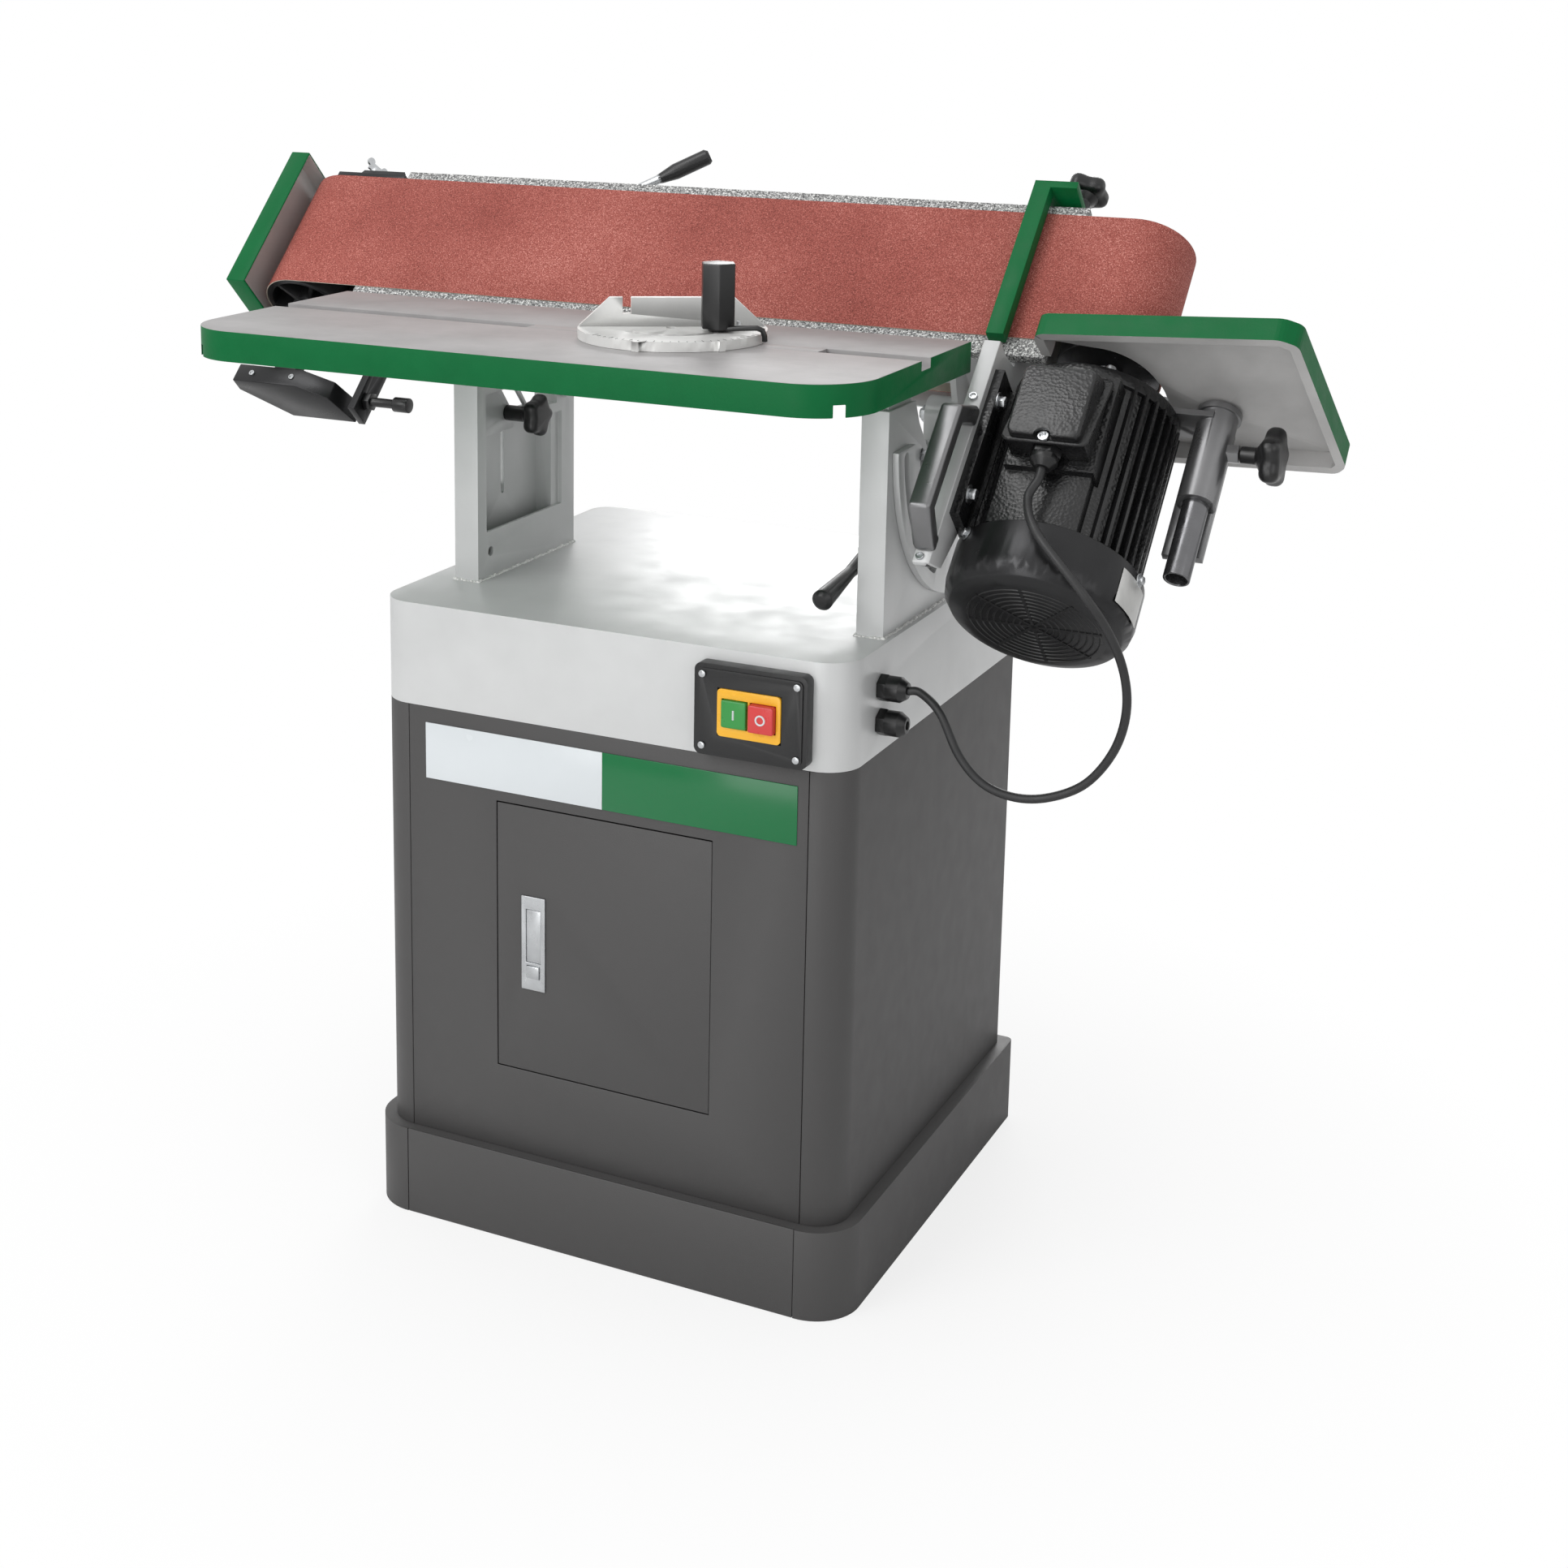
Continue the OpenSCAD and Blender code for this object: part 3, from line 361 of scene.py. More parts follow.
def graphite_cloth():
    """Grey cloth covered with black and white flecks up to two millimetres across."""
    cloth = Finish("graphite_cloth", colour(150, 150, 150), 0.6)
    flecks = cloth.noise(480, 3.0, 0.8)
    cloth.paint(flecks, [(0.38, colour(30, 30, 31)), (0.46, colour(120, 120, 120)),
                         (0.54, colour(165, 165, 164)), (0.62, colour(248, 248, 246))])
    cloth.gloss(300, 0.5, 0.7)
    cloth.relief(flecks, 0.5, 0.0004)
    return cloth.material


def printed_panel(name, tint):
    panel = Finish(name, colour(*tint), 0.22)
    panel.vary(12, 0.015)
    panel.gloss(20, 0.18, 0.28)
    panel.relief(panel.noise(260, 2.0), 0.04, 0.0002)
    return panel.material


def moulded_plastic(name, tint):
    plastic = Finish(name, colour(*tint), 0.3)
    plastic.vary(60, 0.03)
    plastic.gloss(90, 0.25, 0.36)
    plastic.relief(plastic.noise(700, 2.0), 0.1, 0.0002)
    return plastic.material


def brushed_plate():
    plate = Finish("brushed_plate", colour(196, 196, 194), 0.35, 0.6)
    plate.vary(90, 0.05)
    lines = plate.noise(1.0, 4.0, 0.6, stretch=(60, 1500, 1500))
    plate.gloss(60, 0.3, 0.42)
    plate.relief(lines, 0.15, 0.0001)
    return plate.material


# Working by hand

SMOOTH_UNDER = radians(38)              # edges flatter than this are shaded smooth
FLAT_WITHIN = radians(1.5)              # faces this close to one plane are joined
SAME_POINT = 0.00001


def drop_all():
    if bpy.context.mode != "OBJECT":
        bpy.ops.object.mode_set(mode="OBJECT")
    bpy.ops.object.select_all(action="DESELECT")


def pick(piece):
    drop_all()
    piece.select_set(True)
    bpy.context.view_layer.objects.active = piece


def join(into, *others):
    """Makes the others part of the first piece."""
    pick(into)
    for other in others:
        other.select_set(True)
    bpy.ops.object.join()


def link(name, data):
    """A new object in the scene, with that mesh or curve."""
    piece = bpy.data.objects.new(name, data)
    bpy.context.scene.collection.objects.link(piece)
    return piece


def add_box(place, size, rotation=(0, 0, 0)):
    drop_all()
    bpy.ops.mesh.primitive_cube_add(size=1, location=place, rotation=rotation, scale=size)
    return bpy.context.object


def add_cylinder(place, radius, depth, sides, rotation=(0, 0, 0)):
    """Radius and depth are in millimetres."""
    drop_all()
    bpy.ops.mesh.primitive_cylinder_add(vertices=sides, radius=radius * MM, depth=depth * MM,
                                        location=place, rotation=rotation)
    return bpy.context.object


def add_cone(place, low_radius, high_radius, depth, sides=40):
    """Radii and depth are in millimetres."""
    drop_all()
    bpy.ops.mesh.primitive_cone_add(vertices=sides, radius1=low_radius * MM, radius2=high_radius * MM,
                                    depth=depth * MM, location=place)
    return bpy.context.object


def add_ring(place, radius, thickness, segments, rotation=(0, 0, 0)):
    """A torus; radius and half thickness are in millimetres, segments go round it and round its wire."""
    drop_all()
    bpy.ops.mesh.primitive_torus_add(major_radius=radius * MM, minor_radius=thickness * MM,
                                     major_segments=segments[0], minor_segments=segments[1],
                                     location=place, rotation=rotation)
    return bpy.context.object


def round_rod(name, places, radius, roundness, caps=False):
    """A round curve through the places."""
    curve = bpy.data.curves.new(name, "CURVE")
    curve.dimensions = "3D"
    spline = curve.splines.new("POLY")
    spline.points.add(len(places) - 1)
    for point, place in zip(spline.points, places):
        point.co = (*place, 1)
    curve.bevel_depth = radius
    curve.bevel_resolution = roundness
    curve.use_fill_caps = caps
    return link(name, curve)


def open_with(piece, wanted, part="FACE"):
    """Opens the piece for editing with only the wanted faces, or edges, selected."""
    pick(piece)
    bpy.ops.object.mode_set(mode="EDIT")
    bpy.ops.mesh.select_mode(type=part)
    bpy.ops.mesh.select_all(action="DESELECT")
    bpy.ops.object.mode_set(mode="OBJECT")
    for item in piece.data.polygons if part == "FACE" else piece.data.edges:
        item.select = wanted(item)
    bpy.ops.object.mode_set(mode="EDIT")


def close():
    bpy.ops.object.mode_set(mode="OBJECT")


def faces_down(face):
    return face.normal.z < -0.9


def draw_out(way):
    """Extrudes what is selected."""
    bpy.ops.mesh.extrude_region_move(TRANSFORM_OT_translate={"value": way})


def use(piece, kind, **values):
    """Adds a modifier, sets it and applies it."""
    pick(piece)
    modifier = piece.modifiers.new(kind.lower(), kind)
    for key, value in values.items():
        setattr(modifier, key, value)
    bpy.ops.object.modifier_apply(modifier=modifier.name)


def cut(piece, cutter):
    """Takes the cutter's shape out of the piece, and removes the cutter."""
    use(piece, "BOOLEAN", object=cutter, operation="DIFFERENCE", solver="MANIFOLD")
    bpy.data.objects.remove(cutter)


def soften(piece, width, segments=2, angle=28):
    """Rounds the edges that turn by more than angle, width in millimetres."""
    use(piece, "BEVEL", width=width * MM, segments=segments, limit_method="ANGLE",
        angle_limit=radians(angle), use_clamp_overlap=True, harden_normals=False)
    bpy.ops.object.shade_smooth_by_angle(angle=SMOOTH_UNDER)


def on_the_unit(piece):
    """A piece that was shaped in the belt unit's own directions is leaned back with it."""
    pick(piece)
    piece.matrix_world = UNIT @ piece.matrix_world
    bpy.ops.object.transform_apply(location=True, rotation=True, scale=True)


def settle(piece, body, slot, *materials):
    """Fixes a piece's place in its mesh, gives it its finish and the body that it rides on."""
    pick(piece)
    bpy.ops.object.transform_apply(location=True, rotation=True, scale=True)
    piece.data.materials.clear()
    for material in materials:
        piece.data.materials.append(material)
    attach(piece, body)


def tint_faces(piece, choose, leaning=False):
    """choose(place, direction) gives the number of each face's material. Where leaning, both are in
    the belt unit's own directions, and place is in millimetres."""
    for face in piece.data.polygons:
        place, direction = face.center, face.normal
        if leaning:
            place = UNIT_TURN @ (place - UNIT_PLACE) / MM
            direction = UNIT_TURN @ direction
        face.material_index = choose(place, direction)


SLOT_OF = {part["node"]: part["material_slot"] for part in frame["record"]["subparts"]}


def body_of(node):
    bodies = frame["record"]["behaviour"]["bodies"]
    return next(name for name, nodes in bodies.items() if node in nodes)


def dress(node, width, *materials, segments=2, angle=28, choose=None, leaning=False):
    """A finer copy of a CAD piece: joined faces, softened edges and its finish."""
    piece = link(node + "_finished", frame["nodes"][node].data.copy())
    pick(piece)
    bpy.ops.object.mode_set(mode="EDIT")
    bpy.ops.mesh.select_mode(type="FACE")
    bpy.ops.mesh.select_all(action="SELECT")
    bpy.ops.mesh.remove_doubles(threshold=SAME_POINT)
    bpy.ops.mesh.dissolve_limited(angle_limit=FLAT_WITHIN)
    close()
    soften(piece, width, segments, angle)
    settle(piece, body_of(node), SLOT_OF[node], *materials)
    if choose:
        tint_faces(piece, choose, leaning)
    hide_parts(node)


def turned_to(axis):
    return Vector(axis).normalized().to_track_quat("Z", "Y").to_euler()


def open_top(piece, out):
    """Opens the piece with the face selected that looks most along out."""
    turn = piece.matrix_world.to_3x3()
    top = max(piece.data.polygons, key=lambda face: (turn @ face.normal).dot(out)).index
    open_with(piece, lambda face: face.index == top)


WASHER = 1.2                            # thickness of a washer, in millimetres
WASHER_SINK = 0.2                       # how far a bolt's head stands into its washer


def hex_bolt(name, place, axis, across, height, body, material, slot="steel"):
    """A hexagon head on its washer, place at the seat; sizes in millimetres."""
    out = Vector(axis).normalized()
    place = Vector(place)
    middle = height / 2 + WASHER - WASHER_SINK
    head = add_cylinder(place + out * middle * MM, across / 3 ** 0.5, height, 6, turned_to(axis))
    open_top(head, out)
    bpy.ops.mesh.inset(thickness=across * 0.08 * MM)
    bpy.ops.transform.translate(value=out * height * 0.06 * MM)
    close()
    soften(head, across * 0.03, 1)
    washer = add_cylinder(place + out * WASHER / 2 * MM, across * 0.92, WASHER, 28, turned_to(axis))
    soften(washer, WASHER / 4, 1)
    join(head, washer)
    head.name = name
    settle(head, body, slot, material)


def socket_screw(name, place, axis, radius, height, body, material, slot="steel"):
    """A round head with a hollow in its top; sizes in millimetres."""
    out = Vector(axis).normalized()
    screw = add_cylinder(Vector(place) + out * height / 2 * MM, radius, height, 24, turned_to(axis))
    open_top(screw, out)
    bpy.ops.mesh.inset(thickness=radius * 0.42 * MM)
    draw_out(-out * height * 0.55 * MM)
    close()
    soften(screw, radius * 0.08, 1)
    screw.name = name
    settle(screw, body, slot, material)


HUB_RADIUS = 8
HUB_FLARE = 8                           # length of the cone between a knob's hub and its head
STUD_RADIUS = 4
STUD_SINK = 4                           # how far a threaded end reaches into its hub
LOBES = 5
LOBE_DEPTH = 0.1                        # share of the radius


def lobed_knob(node, place, axis, radius, hub, disc, material, stud=0):
    """A hand knob: threaded end, hub, and a fat head with five lobes and well rounded rims."""
    head = add_cylinder(mm(0, 0, stud + hub + 7 + disc / 2), radius, disc + 2, 70)
    for vertex in head.data.vertices:
        turn = atan2(vertex.co.y, vertex.co.x)
        vertex.co.xy *= 1 - LOBE_DEPTH + LOBE_DEPTH * cos(LOBES * turn)
    soften(head, 7.5, 6)
    neck = add_cone(mm(0, 0, stud + hub + HUB_FLARE / 2), HUB_RADIUS, radius - HUB_RADIUS, HUB_FLARE)
    open_with(neck, faces_down)
    draw_out(mm(0, 0, -hub))
    close()
    soften(neck, 0.8)
    if stud:
        length = stud + STUD_SINK
        join(neck, add_cylinder(mm(0, 0, length / 2), STUD_RADIUS, length, 24))
    join(head, neck)
    bpy.ops.object.transform_apply(location=True, rotation=True, scale=True)
    head.name = node + "_lobed"
    head.rotation_euler = turned_to(axis)
    head.location = place
    settle(head, body_of(node), SLOT_OF[node], material)
    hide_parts(node)


BEAD_RADIUS = 2.4
BEAD_STEP = 3.4


def weld_bead(name, corners, material):
    """Overlapping scales of weld along a closed line of corners, millimetres."""
    drop_all()
    bpy.ops.mesh.primitive_uv_sphere_add(segments=10, ring_count=6, radius=BEAD_RADIUS * MM)
    pattern = bpy.context.object
    bpy.ops.object.shade_smooth()
    scales = []
    for start, end in zip(corners, corners[1:] + corners[:1]):
        start, end = Vector(start), Vector(end)
        count = int((end - start).length / BEAD_STEP)
        for i in range(count):
            pick(pattern)
            bpy.ops.object.duplicate(linked=False)
            another = bpy.context.object
            scales.append(another)
            step = len(scales)
            rise = 0.5 * sin(step * 2.3)
            another.location = (start.lerp(end, i / count) + Vector((0, 0, rise))) * MM
            another.scale = (1 + 0.22 * sin(step * 1.7), 1 + 0.22 * cos(step * 2.9),
                             0.8 + 0.25 * sin(step * 0.9))
    drop_all()
    bpy.data.objects.remove(pattern)
    join(*scales)
    scales[0].name = name
    settle(scales[0], "stand", "pale_paint", material)


# Motor lead, from the housing's upper gland to the gland under the terminal box

LEAD_RADIUS = 0.004
LEAD_STEPS = 8
LEAD_EXIT = Vector((0.2773, -0.158, 0.603))
LEAD_STRAIGHT = Vector((0.012, 0, 0))
LEAD_HANG = [(0.312, -0.168, 0.590), (0.334, -0.176, 0.556), (0.358, -0.178, 0.534),
             (0.388, -0.178, 0.526), (0.420, -0.177, 0.531), (0.452, -0.176, 0.549),
             (0.476, -0.178, 0.583), (0.488, -0.188, 0.623), (0.487, -0.200, 0.663),
             (0.474, -0.212, 0.701), (0.450, -0.222, 0.738)]
LEAD_END = unit_point(LID_X, -44.5, -171.3)      # the mouth of the motor's gland
# How far before its end, and how far to the side, each of the last points lies
LEAD_APPROACH = [(0.062, (0.014, -0.009, 0)), (0.032, (-0.003, -0.003, 0)), (0.012, (0, 0, 0)),
                 (0, (0, 0, 0))]


def between(a, b, c, d, t):
    """A point on the smooth curve that runs from b to c."""
    return 0.5 * (2 * b + (c - a) * t + (2 * a - 5 * b + 4 * c - d) * t ** 2
                  + (3 * b - a - 3 * c + d) * t ** 3)


def lead_route():
    """The lead's centre line as a list of close points."""
    points = [LEAD_EXIT, LEAD_EXIT + LEAD_STRAIGHT] + [Vector(place) for place in LEAD_HANG]
    points += [LEAD_END - before * UNIT_UP + Vector(aside) for before, aside in LEAD_APPROACH]
    last = len(points) - 1
    line = []
    for i in range(last):
        a, b = points[max(i - 1, 0)], points[i]
        c, d = points[i + 1], points[min(i + 2, last)]
        line += [between(a, b, c, d, step / LEAD_STEPS) for step in range(LEAD_STEPS)]
    return line + [points[last]]


def hang_motor_lead():
    line = lead_route()
    lead = round_rod("motor_lead_sheath", line, LEAD_RADIUS, 4)
    pick(lead)
    bpy.ops.object.convert(target="MESH")
    lead = bpy.context.object
    bpy.ops.object.shade_smooth()
    lead.data.materials.clear()
    lead.data.materials.append(lead_rubber())
    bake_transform(lead)
    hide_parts("motor_lead")


# Contour table

# Corners of the tray, seen along the drums: x and q
TRAY_OUTLINE = [(346, -37), (352, -44), (572, -62), (588, -54), (611, 126), (602, 138), (380, 150),
                (366, 140)]
TRAY_TOP = -2
TRAY_DEPTH = 24
TRAY_RIM = 9                            # width of the rim under the tray
TRAY_HOLLOW = 18                        # depth of the hollow inside that rim
TRAY_CORNER = 5
TRAY_BOSS = (504, 60)                   # x and q of the column
TRAY_CUT = -14                          # v of the middle of what is cut out round the drum
DRUM_RECESS = 61                        # radius of the round cut behind the drum


def inside_tray(x, q, margin):
    """Whether a point lies inside the tray's outline by at least margin."""
    corners = TRAY_OUTLINE[1:] + TRAY_OUTLINE[:1]
    for (x0, q0), (x1, q1) in zip(TRAY_OUTLINE, corners):
        away = ((x1 - x0) * (q - q0) - (q1 - q0) * (x - x0)) / hypot(x1 - x0, q1 - q0)
        if away < margin:
            return False
    return True


def tray_finish(place, direction):
    """Ground on top, green round the edge, and bare casting underneath."""
    if direction.z > 0.8:
        return 2
    at_the_edge = not inside_tray(place.x, place.y, 4)
    return 0 if at_the_edge and abs(direction.z) < 0.8 else 1


def shape_contour_table(green, casting, ground):
    drop_all()
    bpy.ops.mesh.primitive_circle_add(vertices=len(TRAY_OUTLINE), radius=1, fill_type="NGON")
    tray = bpy.context.object
    tray.name = "contour_tray"
    points = tray.data.vertices
    for vertex, (x, q) in zip(points, TRAY_OUTLINE):
        vertex.co = mm(x, q, TRAY_TOP)
    open_with(tray, lambda face: True)
    draw_out(mm(0, 0, -TRAY_DEPTH))
    bpy.ops.mesh.select_all(action="SELECT")
    bpy.ops.mesh.normals_make_consistent(inside=False)
    close()
    open_with(tray, faces_down)
    bpy.ops.mesh.inset(thickness=TRAY_RIM * MM)
    draw_out(mm(0, 0, TRAY_HOLLOW))
    bpy.ops.mesh.poke()
    close()
    # the middle of the hollow comes down to the boss, with creases to the corners
    points = tray.data.vertices
    boss_foot = mm(*TRAY_BOSS, TRAY_TOP - TRAY_DEPTH + 2)
    hollow = (TRAY_TOP - TRAY_DEPTH + TRAY_HOLLOW) * MM
    in_hollow = [point for point in points if abs(point.co.z - hollow) < MM]
    min(in_hollow, key=lambda point: (point.co - boss_foot).length).co = boss_foot

    def upright(edge):
        start, end = edge.vertices
        return abs(points[start].co.z - points[end].co.z) > 20 * MM

    open_with(tray, upright, "EDGE")
    bpy.ops.mesh.bevel(offset=TRAY_CORNER * MM, segments=3, affect="EDGES")
    close()
    cut(tray, add_cylinder(mm(DRIVE_X, DRUM_BACK, TRAY_CUT), DRUM_RECESS, 80, 72))
    cut(tray, add_box(mm(DRIVE_X - 50, DRUM_BACK, TRAY_CUT), mm(100, 2 * DRUM_RECESS, 80)))
    soften(tray, 1.6, 2, 24)
    boss = add_cone(mm(*TRAY_BOSS, -13), 24, 30, 14)
    soften(boss, 1)
    join(tray, boss)
    bpy.ops.object.shade_smooth_by_angle(angle=radians(6))
    on_the_unit(tray)
    settle(tray, "contour", "green_paint", green, casting, ground)
    tint_faces(tray, tray_finish, leaning=True)
    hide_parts("contour_table")


# Motor details

LID_BACK = -60                          # q that parts the lid's outer face from its inner one


def round_corners(piece, radius):
    """Rounds the edges that run through a plate's thickness, along y."""
    points = piece.data.vertices

    def through(edge):
        start, end = edge.vertices
        return abs((points[start].co - points[end].co).normalized().y) > 0.7

    open_with(piece, through, "EDGE")
    bpy.ops.mesh.bevel(offset=radius * MM, segments=5, affect="EDGES")
    close()


def shape_terminal_lid(material):
    """A slanted lip and a raised face with rounded corners, scooped out for its screw."""
    face = add_box(mm(LID_X, -53.5, -109), mm(66, 33, 86))
    bpy.ops.object.transform_apply(location=True, rotation=False, scale=True)
    for vertex in face.data.vertices:
        in_front = vertex.co.y < LID_BACK * MM
        if vertex.co.z > -100 * MM:
            vertex.co.z = (-79 if in_front else -66) * MM
        elif not in_front:
            vertex.co.y = -58 * MM
    round_corners(face, 7)
    soften(face, 2.6, 4)
    lip = add_box((0, 0, 0), mm(79, 4, 94.6))
    bpy.ops.object.transform_apply(location=False, rotation=False, scale=True)
    round_corners(lip, 8)
    soften(lip, 1.6, 3)
    lip.rotation_euler = (-atan2(26, 91), 0, 0)
    lip.location = mm(LID_X, -47.6, -109.5)
    join(lip, face)
    bpy.ops.object.transform_apply(location=True, rotation=True, scale=True)
    cut(lip, add_cylinder(mm(LID_X, -73, -153), 8, 20, 32, (pi / 2, 0, 0)))
    bpy.ops.object.shade_smooth_by_angle(angle=SMOOTH_UNDER)
    lip.name = "terminal_lid_moulded"
    on_the_unit(lip)
    settle(lip, "belt_unit", SLOT_OF["terminal_lid"], material)
    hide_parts("terminal_lid")


def fan_grille(material):
    """Rings and spokes over the air inlet at the motor's end."""
    middle = mm(DRIVE_X, DRUM_BACK, FAN_END)
    bars = [add_ring(middle, radius, 0.9, (48, 6)) for radius in range(12, 62, 6)]
    bars += [add_box(middle, mm(124, 3, 1.4), (0, 0, turn * pi / 4)) for turn in range(4)]
    join(*bars)
    grille = bars[0]
    grille.name = "fan_grille"
    bpy.ops.object.shade_smooth_by_angle(angle=radians(40))
    on_the_unit(grille)
    settle(grille, "belt_unit", "black_paint", material)


def round_the_motor(radius, turn):
    """x and q of a point at that angle round the motor's axis."""
    return DRIVE_X + radius * cos(radians(turn)), DRUM_BACK + radius * sin(radians(turn))


def motor_fasteners(steel):
    foot_x = DRIVE_X - 68
    for number, (q, v) in enumerate([(-19, -88), (-19, -190), (100, -88), (100, -190)]):
        hex_bolt(f"motor_foot_nut_{number}", unit_point(foot_x, q, v), (1, 0, 0), 10, 6, "belt_unit", steel)
    for number, turn in enumerate((-150, -70, -20, 60)):
        place = unit_point(*round_the_motor(71, turn), MOTOR_TOP)
        socket_screw(f"flange_screw_{number}", place, UNIT_UP, 4.5, 5, "belt_unit", steel)
    for number, turn in enumerate((-137, -9, 111)):
        place = unit_point(*round_the_motor(FAN_RADIUS, turn), FAN_TOP - 5)
        out = UNIT.to_3x3() @ Vector((cos(radians(turn)), sin(radians(turn)), 0))
        hex_bolt(f"fan_cover_screw_{number}", place, out, 7, 3.5, "belt_unit", steel)
    for name, place, radius, height in (("lid_screw", (LID_X, -62.7, -150), 5, 3),
                                        ("strip_screw", (308.5, -37, -97), 4, 3),
                                        ("tab_screw", (307, -37, -270.5), 3.6, 2.5)):
        socket_screw(name, unit_point(*place), UNIT_OUT, radius, height, "belt_unit", steel)


# Switch marks: a bar on the start button and a ring on the stop button

def switch_marks(white):
    bar = add_cylinder((START_X, HOUSING_FRONT - 0.0204, SWITCH_HEIGHT), 1.1, 9, 4)
    bar.name = "start_mark"
    soften(bar, 0.2, 1)
    settle(bar, "start_button", "badge_pale", white)
    ring = add_ring((STOP_X, HOUSING_FRONT - 0.0233, SWITCH_HEIGHT), 4.2, 0.9, (32, 8), (pi / 2, 0, 0))
    ring.name = "stop_mark"
    bpy.ops.object.shade_smooth()
    settle(ring, "stop_button", "badge_pale", white)


# Mitre gauge details

MITRE_TURN = radians(30)
MITRE_ROD = [(92, -182, 926.2), (113, -179, 928.5), (128, -177, 929.5), (133, -176, 927.5),
             (134.6, -175, 922), (134.6, -174.5, 917.4)]
RIM_HEIGHT = 9.3                        # of the protractor over the table


def mitre_details(black, steel, dark):
    """The bent stop rod, its clamp screw and the angle marks on the curved rim."""
    turn = (Matrix.Translation(Vector((MITRE_X, SLOT_MIDDLE, TABLE_HEIGHT)))
            @ Matrix.Rotation(MITRE_TURN, 4, "Z"))
    rod = round_rod("mitre_rod", [mm(*place) for place in MITRE_ROD], 2.6 * MM, 3, caps=True)
    rod.data.materials.append(black)
    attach(rod, "mitre_head")
    marks = []
    for step in range(-12, 13):
        angle = radians(5 * step - 90)
        radius, length = (84, 6) if step % 3 == 0 else (85.2, 3.6)
        place = turn @ mm(radius * cos(angle), radius * sin(angle), RIM_HEIGHT + 0.05)
        marks.append(add_box(place, mm(length, 0.5, 0.3), (0, 0, angle + MITRE_TURN)))
    join(*marks)
    marks[0].name = "mitre_angle_marks"
    settle(marks[0], "mitre_head", "black_plastic", dark)
    socket_screw("mitre_rod_screw", turn @ mm(62, 12, RIM_HEIGHT), (0, 0, 1), 4.5, 5, "mitre_head", steel)


# Small fasteners and welds on the stand and the idler

def stand_fasteners(steel):
    for side, face, out in (("left", LEFT_POST[0] - 0.2, -1), ("right", RIGHT_POST[0] - 0.2, 1)):
        place = (face * MM, LOCK_Y, 0.7205)
        socket_screw(f"{side}_slot_end_screw", place, (out, 0, 0), 4.5, 3, "stand", steel)
    socket_screw("post_side_screw", (0.2428, -0.1165, 0.785), (1, 0, 0), 4, 2.5, "stand", steel)
    for number, x in enumerate((-535, -483)):
        place = unit_point(x, 44.2, -97)
        socket_screw(f"idler_cover_screw_{number}", place, UNIT_OUT, 3.2, 2, "idler_carriage", steel)


def weld_posts(alloy):
    for side, (outer, inner) in (("left", LEFT_POST), ("right", RIGHT_POST)):
        feet = [(outer, POST_FRONT), (inner, POST_FRONT), (inner, POST_BACK), (outer, POST_BACK)]
        weld_bead(f"{side}_post_weld", [(x, y, WELD_HEIGHT) for x, y in feet], alloy)


# Light, floor and world

def light_the_room():
    scene = bpy.context.scene
    scene.view_settings.view_transform = "Standard"
    world = bpy.data.worlds.new("studio")
    scene.world = world
    world.use_nodes = True
    tree = world.node_tree
    ambient = tree.nodes["Background"]
    ambient.inputs["Color"].default_value = (1, 1, 1, 1)
    ambient.inputs["Strength"].default_value = 0.52
    # the camera and reflections see a brighter room than the one that lights the piece
    seen = tree.nodes.new("ShaderNodeBackground")
    seen.inputs["Color"].default_value = (1, 1, 1, 1)
    seen.inputs["Strength"].default_value = 1.0
    path = tree.nodes.new("ShaderNodeLightPath")
    either = tree.nodes.new("ShaderNodeMath")
    either.operation = "MAXIMUM"
    mix = tree.nodes.new("ShaderNodeMixShader")
    tree.links.new(path.outputs["Is Camera Ray"], either.inputs[0])
    tree.links.new(path.outputs["Is Glossy Ray"], either.inputs[1])
    tree.links.new(either.outputs[0], mix.inputs["Fac"])
    tree.links.new(ambient.outputs["Background"], mix.inputs[1])
    tree.links.new(seen.outputs["Background"], mix.inputs[2])
    tree.links.new(mix.outputs["Shader"], tree.nodes["World Output"].inputs["Surface"])
    # name, place, power in watts and size
    lamps = [("key", (-1.3, -2.8, 2.6), 42, 1.8), ("front", (-0.2, -3.6, 0.8), 18, 1.6),
             ("fill", (2.6, -2.0, 1.7), 9, 1.8), ("top", (-0.6, -0.8, 3.1), 17, 1.2),
             ("back", (-0.75, 3.1, 1.75), 44, 1.7)]
    aim = Vector((0, 0, 0.6))
    for name, place, power, size in lamps:
        bpy.ops.object.light_add(type="AREA", location=place)
        lamp = bpy.context.object
        lamp.name = name
        lamp.data.energy = power
        lamp.data.size = size
        lamp.rotation_euler = (aim - Vector(place)).to_track_quat("-Z", "Y").to_euler()


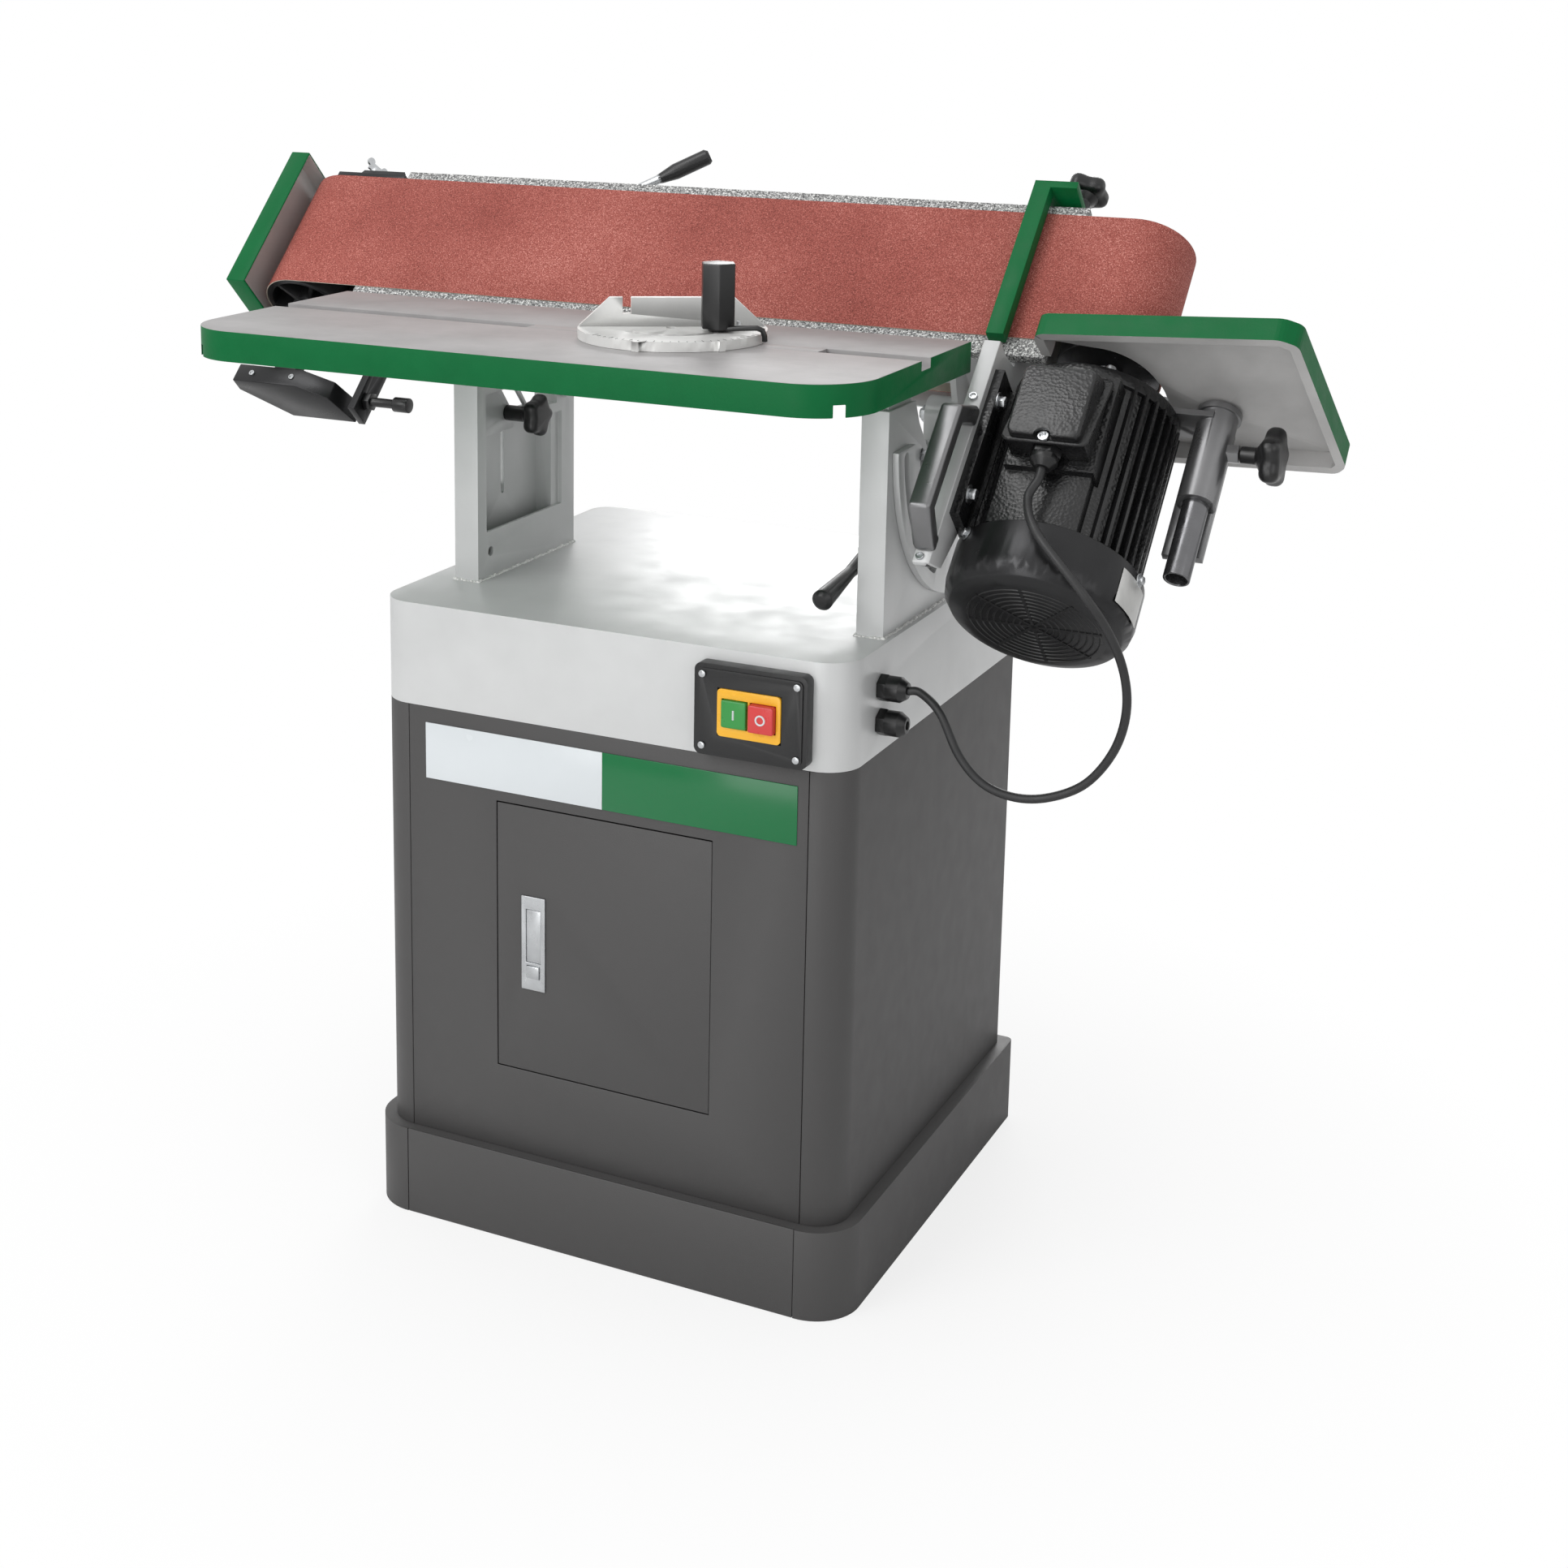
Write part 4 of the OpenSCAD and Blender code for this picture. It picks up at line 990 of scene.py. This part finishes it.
def lay_floor():
    """A pale floor that glows towards the camera, less so near the stand, where its shadow shows."""
    drop_all()
    bpy.ops.mesh.primitive_plane_add(size=40, location=(0, 0, -0.0005))
    floor = bpy.context.object
    floor.name = "floor"
    paint = bpy.data.materials.new("pale_floor")
    paint.use_nodes = True
    tree = paint.node_tree
    matt = tree.nodes["Principled BSDF"]
    matt.inputs["Base Color"].default_value = (0.9, 0.9, 0.9, 1)
    matt.inputs["Roughness"].default_value = 0.9
    glow = tree.nodes.new("ShaderNodeEmission")
    glow.inputs["Strength"].default_value = 1.0
    path = tree.nodes.new("ShaderNodeLightPath")
    place = tree.nodes.new("ShaderNodeTexCoord").outputs["Object"]
    away = tree.nodes.new("ShaderNodeVectorMath")
    away.operation = "LENGTH"
    tree.links.new(place, away.inputs[0])
    fade = tree.nodes.new("ShaderNodeMapRange")
    for name, number in zip(("From Min", "From Max", "To Min", "To Max"), (0.3, 0.9, 0.78, 1.0)):
        fade.inputs[name].default_value = number
    tree.links.new(away.outputs["Value"], fade.inputs["Value"])
    share = tree.nodes.new("ShaderNodeMath")
    share.operation = "MULTIPLY"
    tree.links.new(fade.outputs["Result"], share.inputs[1])
    mix = tree.nodes.new("ShaderNodeMixShader")
    tree.links.new(path.outputs["Is Camera Ray"], share.inputs[0])
    tree.links.new(share.outputs[0], mix.inputs["Fac"])
    tree.links.new(matt.outputs["BSDF"], mix.inputs[1])
    tree.links.new(glow.outputs["Emission"], mix.inputs[2])
    tree.links.new(mix.outputs["Shader"], tree.nodes["Material Output"].inputs["Surface"])
    floor.data.materials.append(paint)


# Making, camera and cord first

stand_camera()
hang_motor_lead()
light_the_room()
lay_floor()

dark = dark_powder_coat()
pale = pale_enamel()
green = green_enamel()
black = black_enamel()
hammered = hammered_black()
plastic = black_plastic()
steel = zinc_steel()
iron = ground_iron()
alloy = cast_alloy()
casting = tray_casting()
turned = turned_alloy()
gunmetal = gunmetal_enamel()
grit = abrasive_grit()
cloth = belt_cloth()
graphite = graphite_cloth()
bare_white = printed_panel("bare_white_panel", (213, 218, 221))
bare_green = printed_panel("bare_green_panel", (0, 106, 56))
yellow = moulded_plastic("yellow_plastic", (240, 178, 42))
go_green = moulded_plastic("green_button", (46, 142, 62))
stop_red = moulded_plastic("red_button", (206, 58, 58))
plate = brushed_plate()


def dress_stand():
    for node in ("floor_pan", "plinth_shell", "plinth_front", "cabinet_shell", "front_panel", "door_panel"):
        dress(node, 0.7, dark)
    dress("top_housing", 3.5, pale, segments=3)
    for node in ("left_post", "right_post"):
        dress(node, 1.6, pale, segments=3)
    dress("badge_left", 0.4, bare_white)
    dress("badge_right", 0.4, bare_green)
    dress("switch_box", 2.2, plastic, segments=3)
    dress("switch_plate", 1.2, yellow)
    dress("start_button", 1.4, go_green, segments=3)
    dress("stop_button", 1.4, stop_red, segments=3)
    for node in ("switch_screws", "pivot_bolts", "lock_bolts"):
        dress(node, 0.5, steel)
    for node in ("cable_glands", "clamp_lever"):
        dress(node, 1.2, plastic)
    for node in ("latch_plate", "latch_paddle", "latch_button"):
        dress(node, 0.5, steel)


def table_finish(place, direction):
    """Ground top and slot, green edges and underside."""
    ground = direction.z > 0.5 or (abs(direction.y) > 0.5 and abs(place.y - SLOT_MIDDLE) < 0.013)
    return 0 if ground and place.z > TABLE_HEIGHT - 0.010 else 1


def dress_table():
    dress("table_top", 1.8, iron, green, segments=3, choose=table_finish)
    for node in ("left_table_bracket", "right_table_bracket"):
        dress(node, 0.5, pale)
    dress("mitre_bar", 0.5, iron)
    dress("mitre_head", 1.4, alloy, segments=3)
    dress("mitre_handle", 1.2, plastic, segments=3)


def belt_side(place, direction):
    """Grit outside, cloth inside the loop."""
    outward = direction.y * (place.y - DRUM_BACK)
    if place.x < IDLER_X:
        outward += direction.x * (place.x - IDLER_X)
    if place.x > DRIVE_X:
        outward += direction.x * (place.x - DRIVE_X)
    return 0 if outward > 0 else 1


def guard_side(place, direction):
    """Green outside, pale on the walls that face the belt."""
    inner_wall = direction.x > 0.5 and place.x < -565
    inner_roof = direction.z < -0.5 and place.z > 150
    inner_floor = direction.z > 0.5 and place.z < -10
    inner_front = direction.y > 0.5 and place.y < -10
    return 1 if inner_wall or inner_roof or inner_floor or inner_front else 0


def beam_side(place, direction):
    """The plate that hangs down at the idler's end is black."""
    return 1 if place.z < 1 and place.x < -395 else 0


LEVER_FOOT = (-228, 166)                # x and v of the tension lever's hub
LEVER_LEAN = radians(53)


def lever_side(place, direction):
    """A plated rod between the black hub and the black grip."""
    across, up = place.x - LEVER_FOOT[0], place.z - LEVER_FOOT[1]
    along = across * sin(LEVER_LEAN) + up * cos(LEVER_LEAN)
    return 1 if 11 < along < 88 else 0


def dress_belt_unit():
    dress("main_beam", 1.2, pale, black, choose=beam_side, leaning=True)
    for node in ("pivot_ear", "tilt_sector", "rear_guard", "motor_bracket"):
        dress(node, 1.2, pale)
    dress("platen", 0.8, graphite)
    dress("sanding_belt", 0.2, grit, cloth, choose=belt_side, leaning=True)
    dress("left_guard", 1.4, green, alloy, choose=guard_side, leaning=True)
    dress("grip_handle", 5, gunmetal, segments=4)
    dress("motor_stator", 0.9, hammered)
    dress("fan_cover", 1.0, black, segments=3)
    dress("terminal_box", 1.8, hammered, segments=3)
    dress("motor_gland", 0.8, plastic)
    dress("rating_plate", 0.15, plate)
    dress("sleeve_bracket", 1.2, gunmetal)
    dress("drive_drum", 0.8, turned)
    for node in ("idler_yoke", "idler_cover"):
        dress(node, 1.2, black)
    dress("idler_drum", 1.0, black)
    dress("tension_lever", 1.6, plastic, steel, segments=3, choose=lever_side, leaning=True)
    dress("wing_screw", 0.8, steel)
    dress("tension_screw", 0.8, plastic)
    dress("stop_bar", 1.2, green)
    dress("contour_column", 0.6, turned)


dress_stand()
dress_table()
dress_belt_unit()
shape_contour_table(green, casting, iron)
for side, x, inward in (("left", LEFT_LOCK_X, 1), ("right", RIGHT_LOCK_X, -1)):
    lobed_knob(f"{side}_lock_knob", (x, LOCK_Y, LOCK_HEIGHT), (inward, 0, 0), 22.4, 22, 14, plastic)
lobed_knob("stop_knob", unit_point(319, 50, 176.6), UNIT_UP, 24, 29, 16, plastic)
lobed_knob("contour_knob", unit_point(516.3, 60, -67), (1, 0, 0), 28, 14, 16, plastic, stud=16)
weld_posts(alloy)
fan_grille(plastic)
shape_terminal_lid(hammered)
motor_fasteners(steel)
switch_marks(bare_white)
mitre_details(plastic, steel, dark)
stand_fasteners(steel)
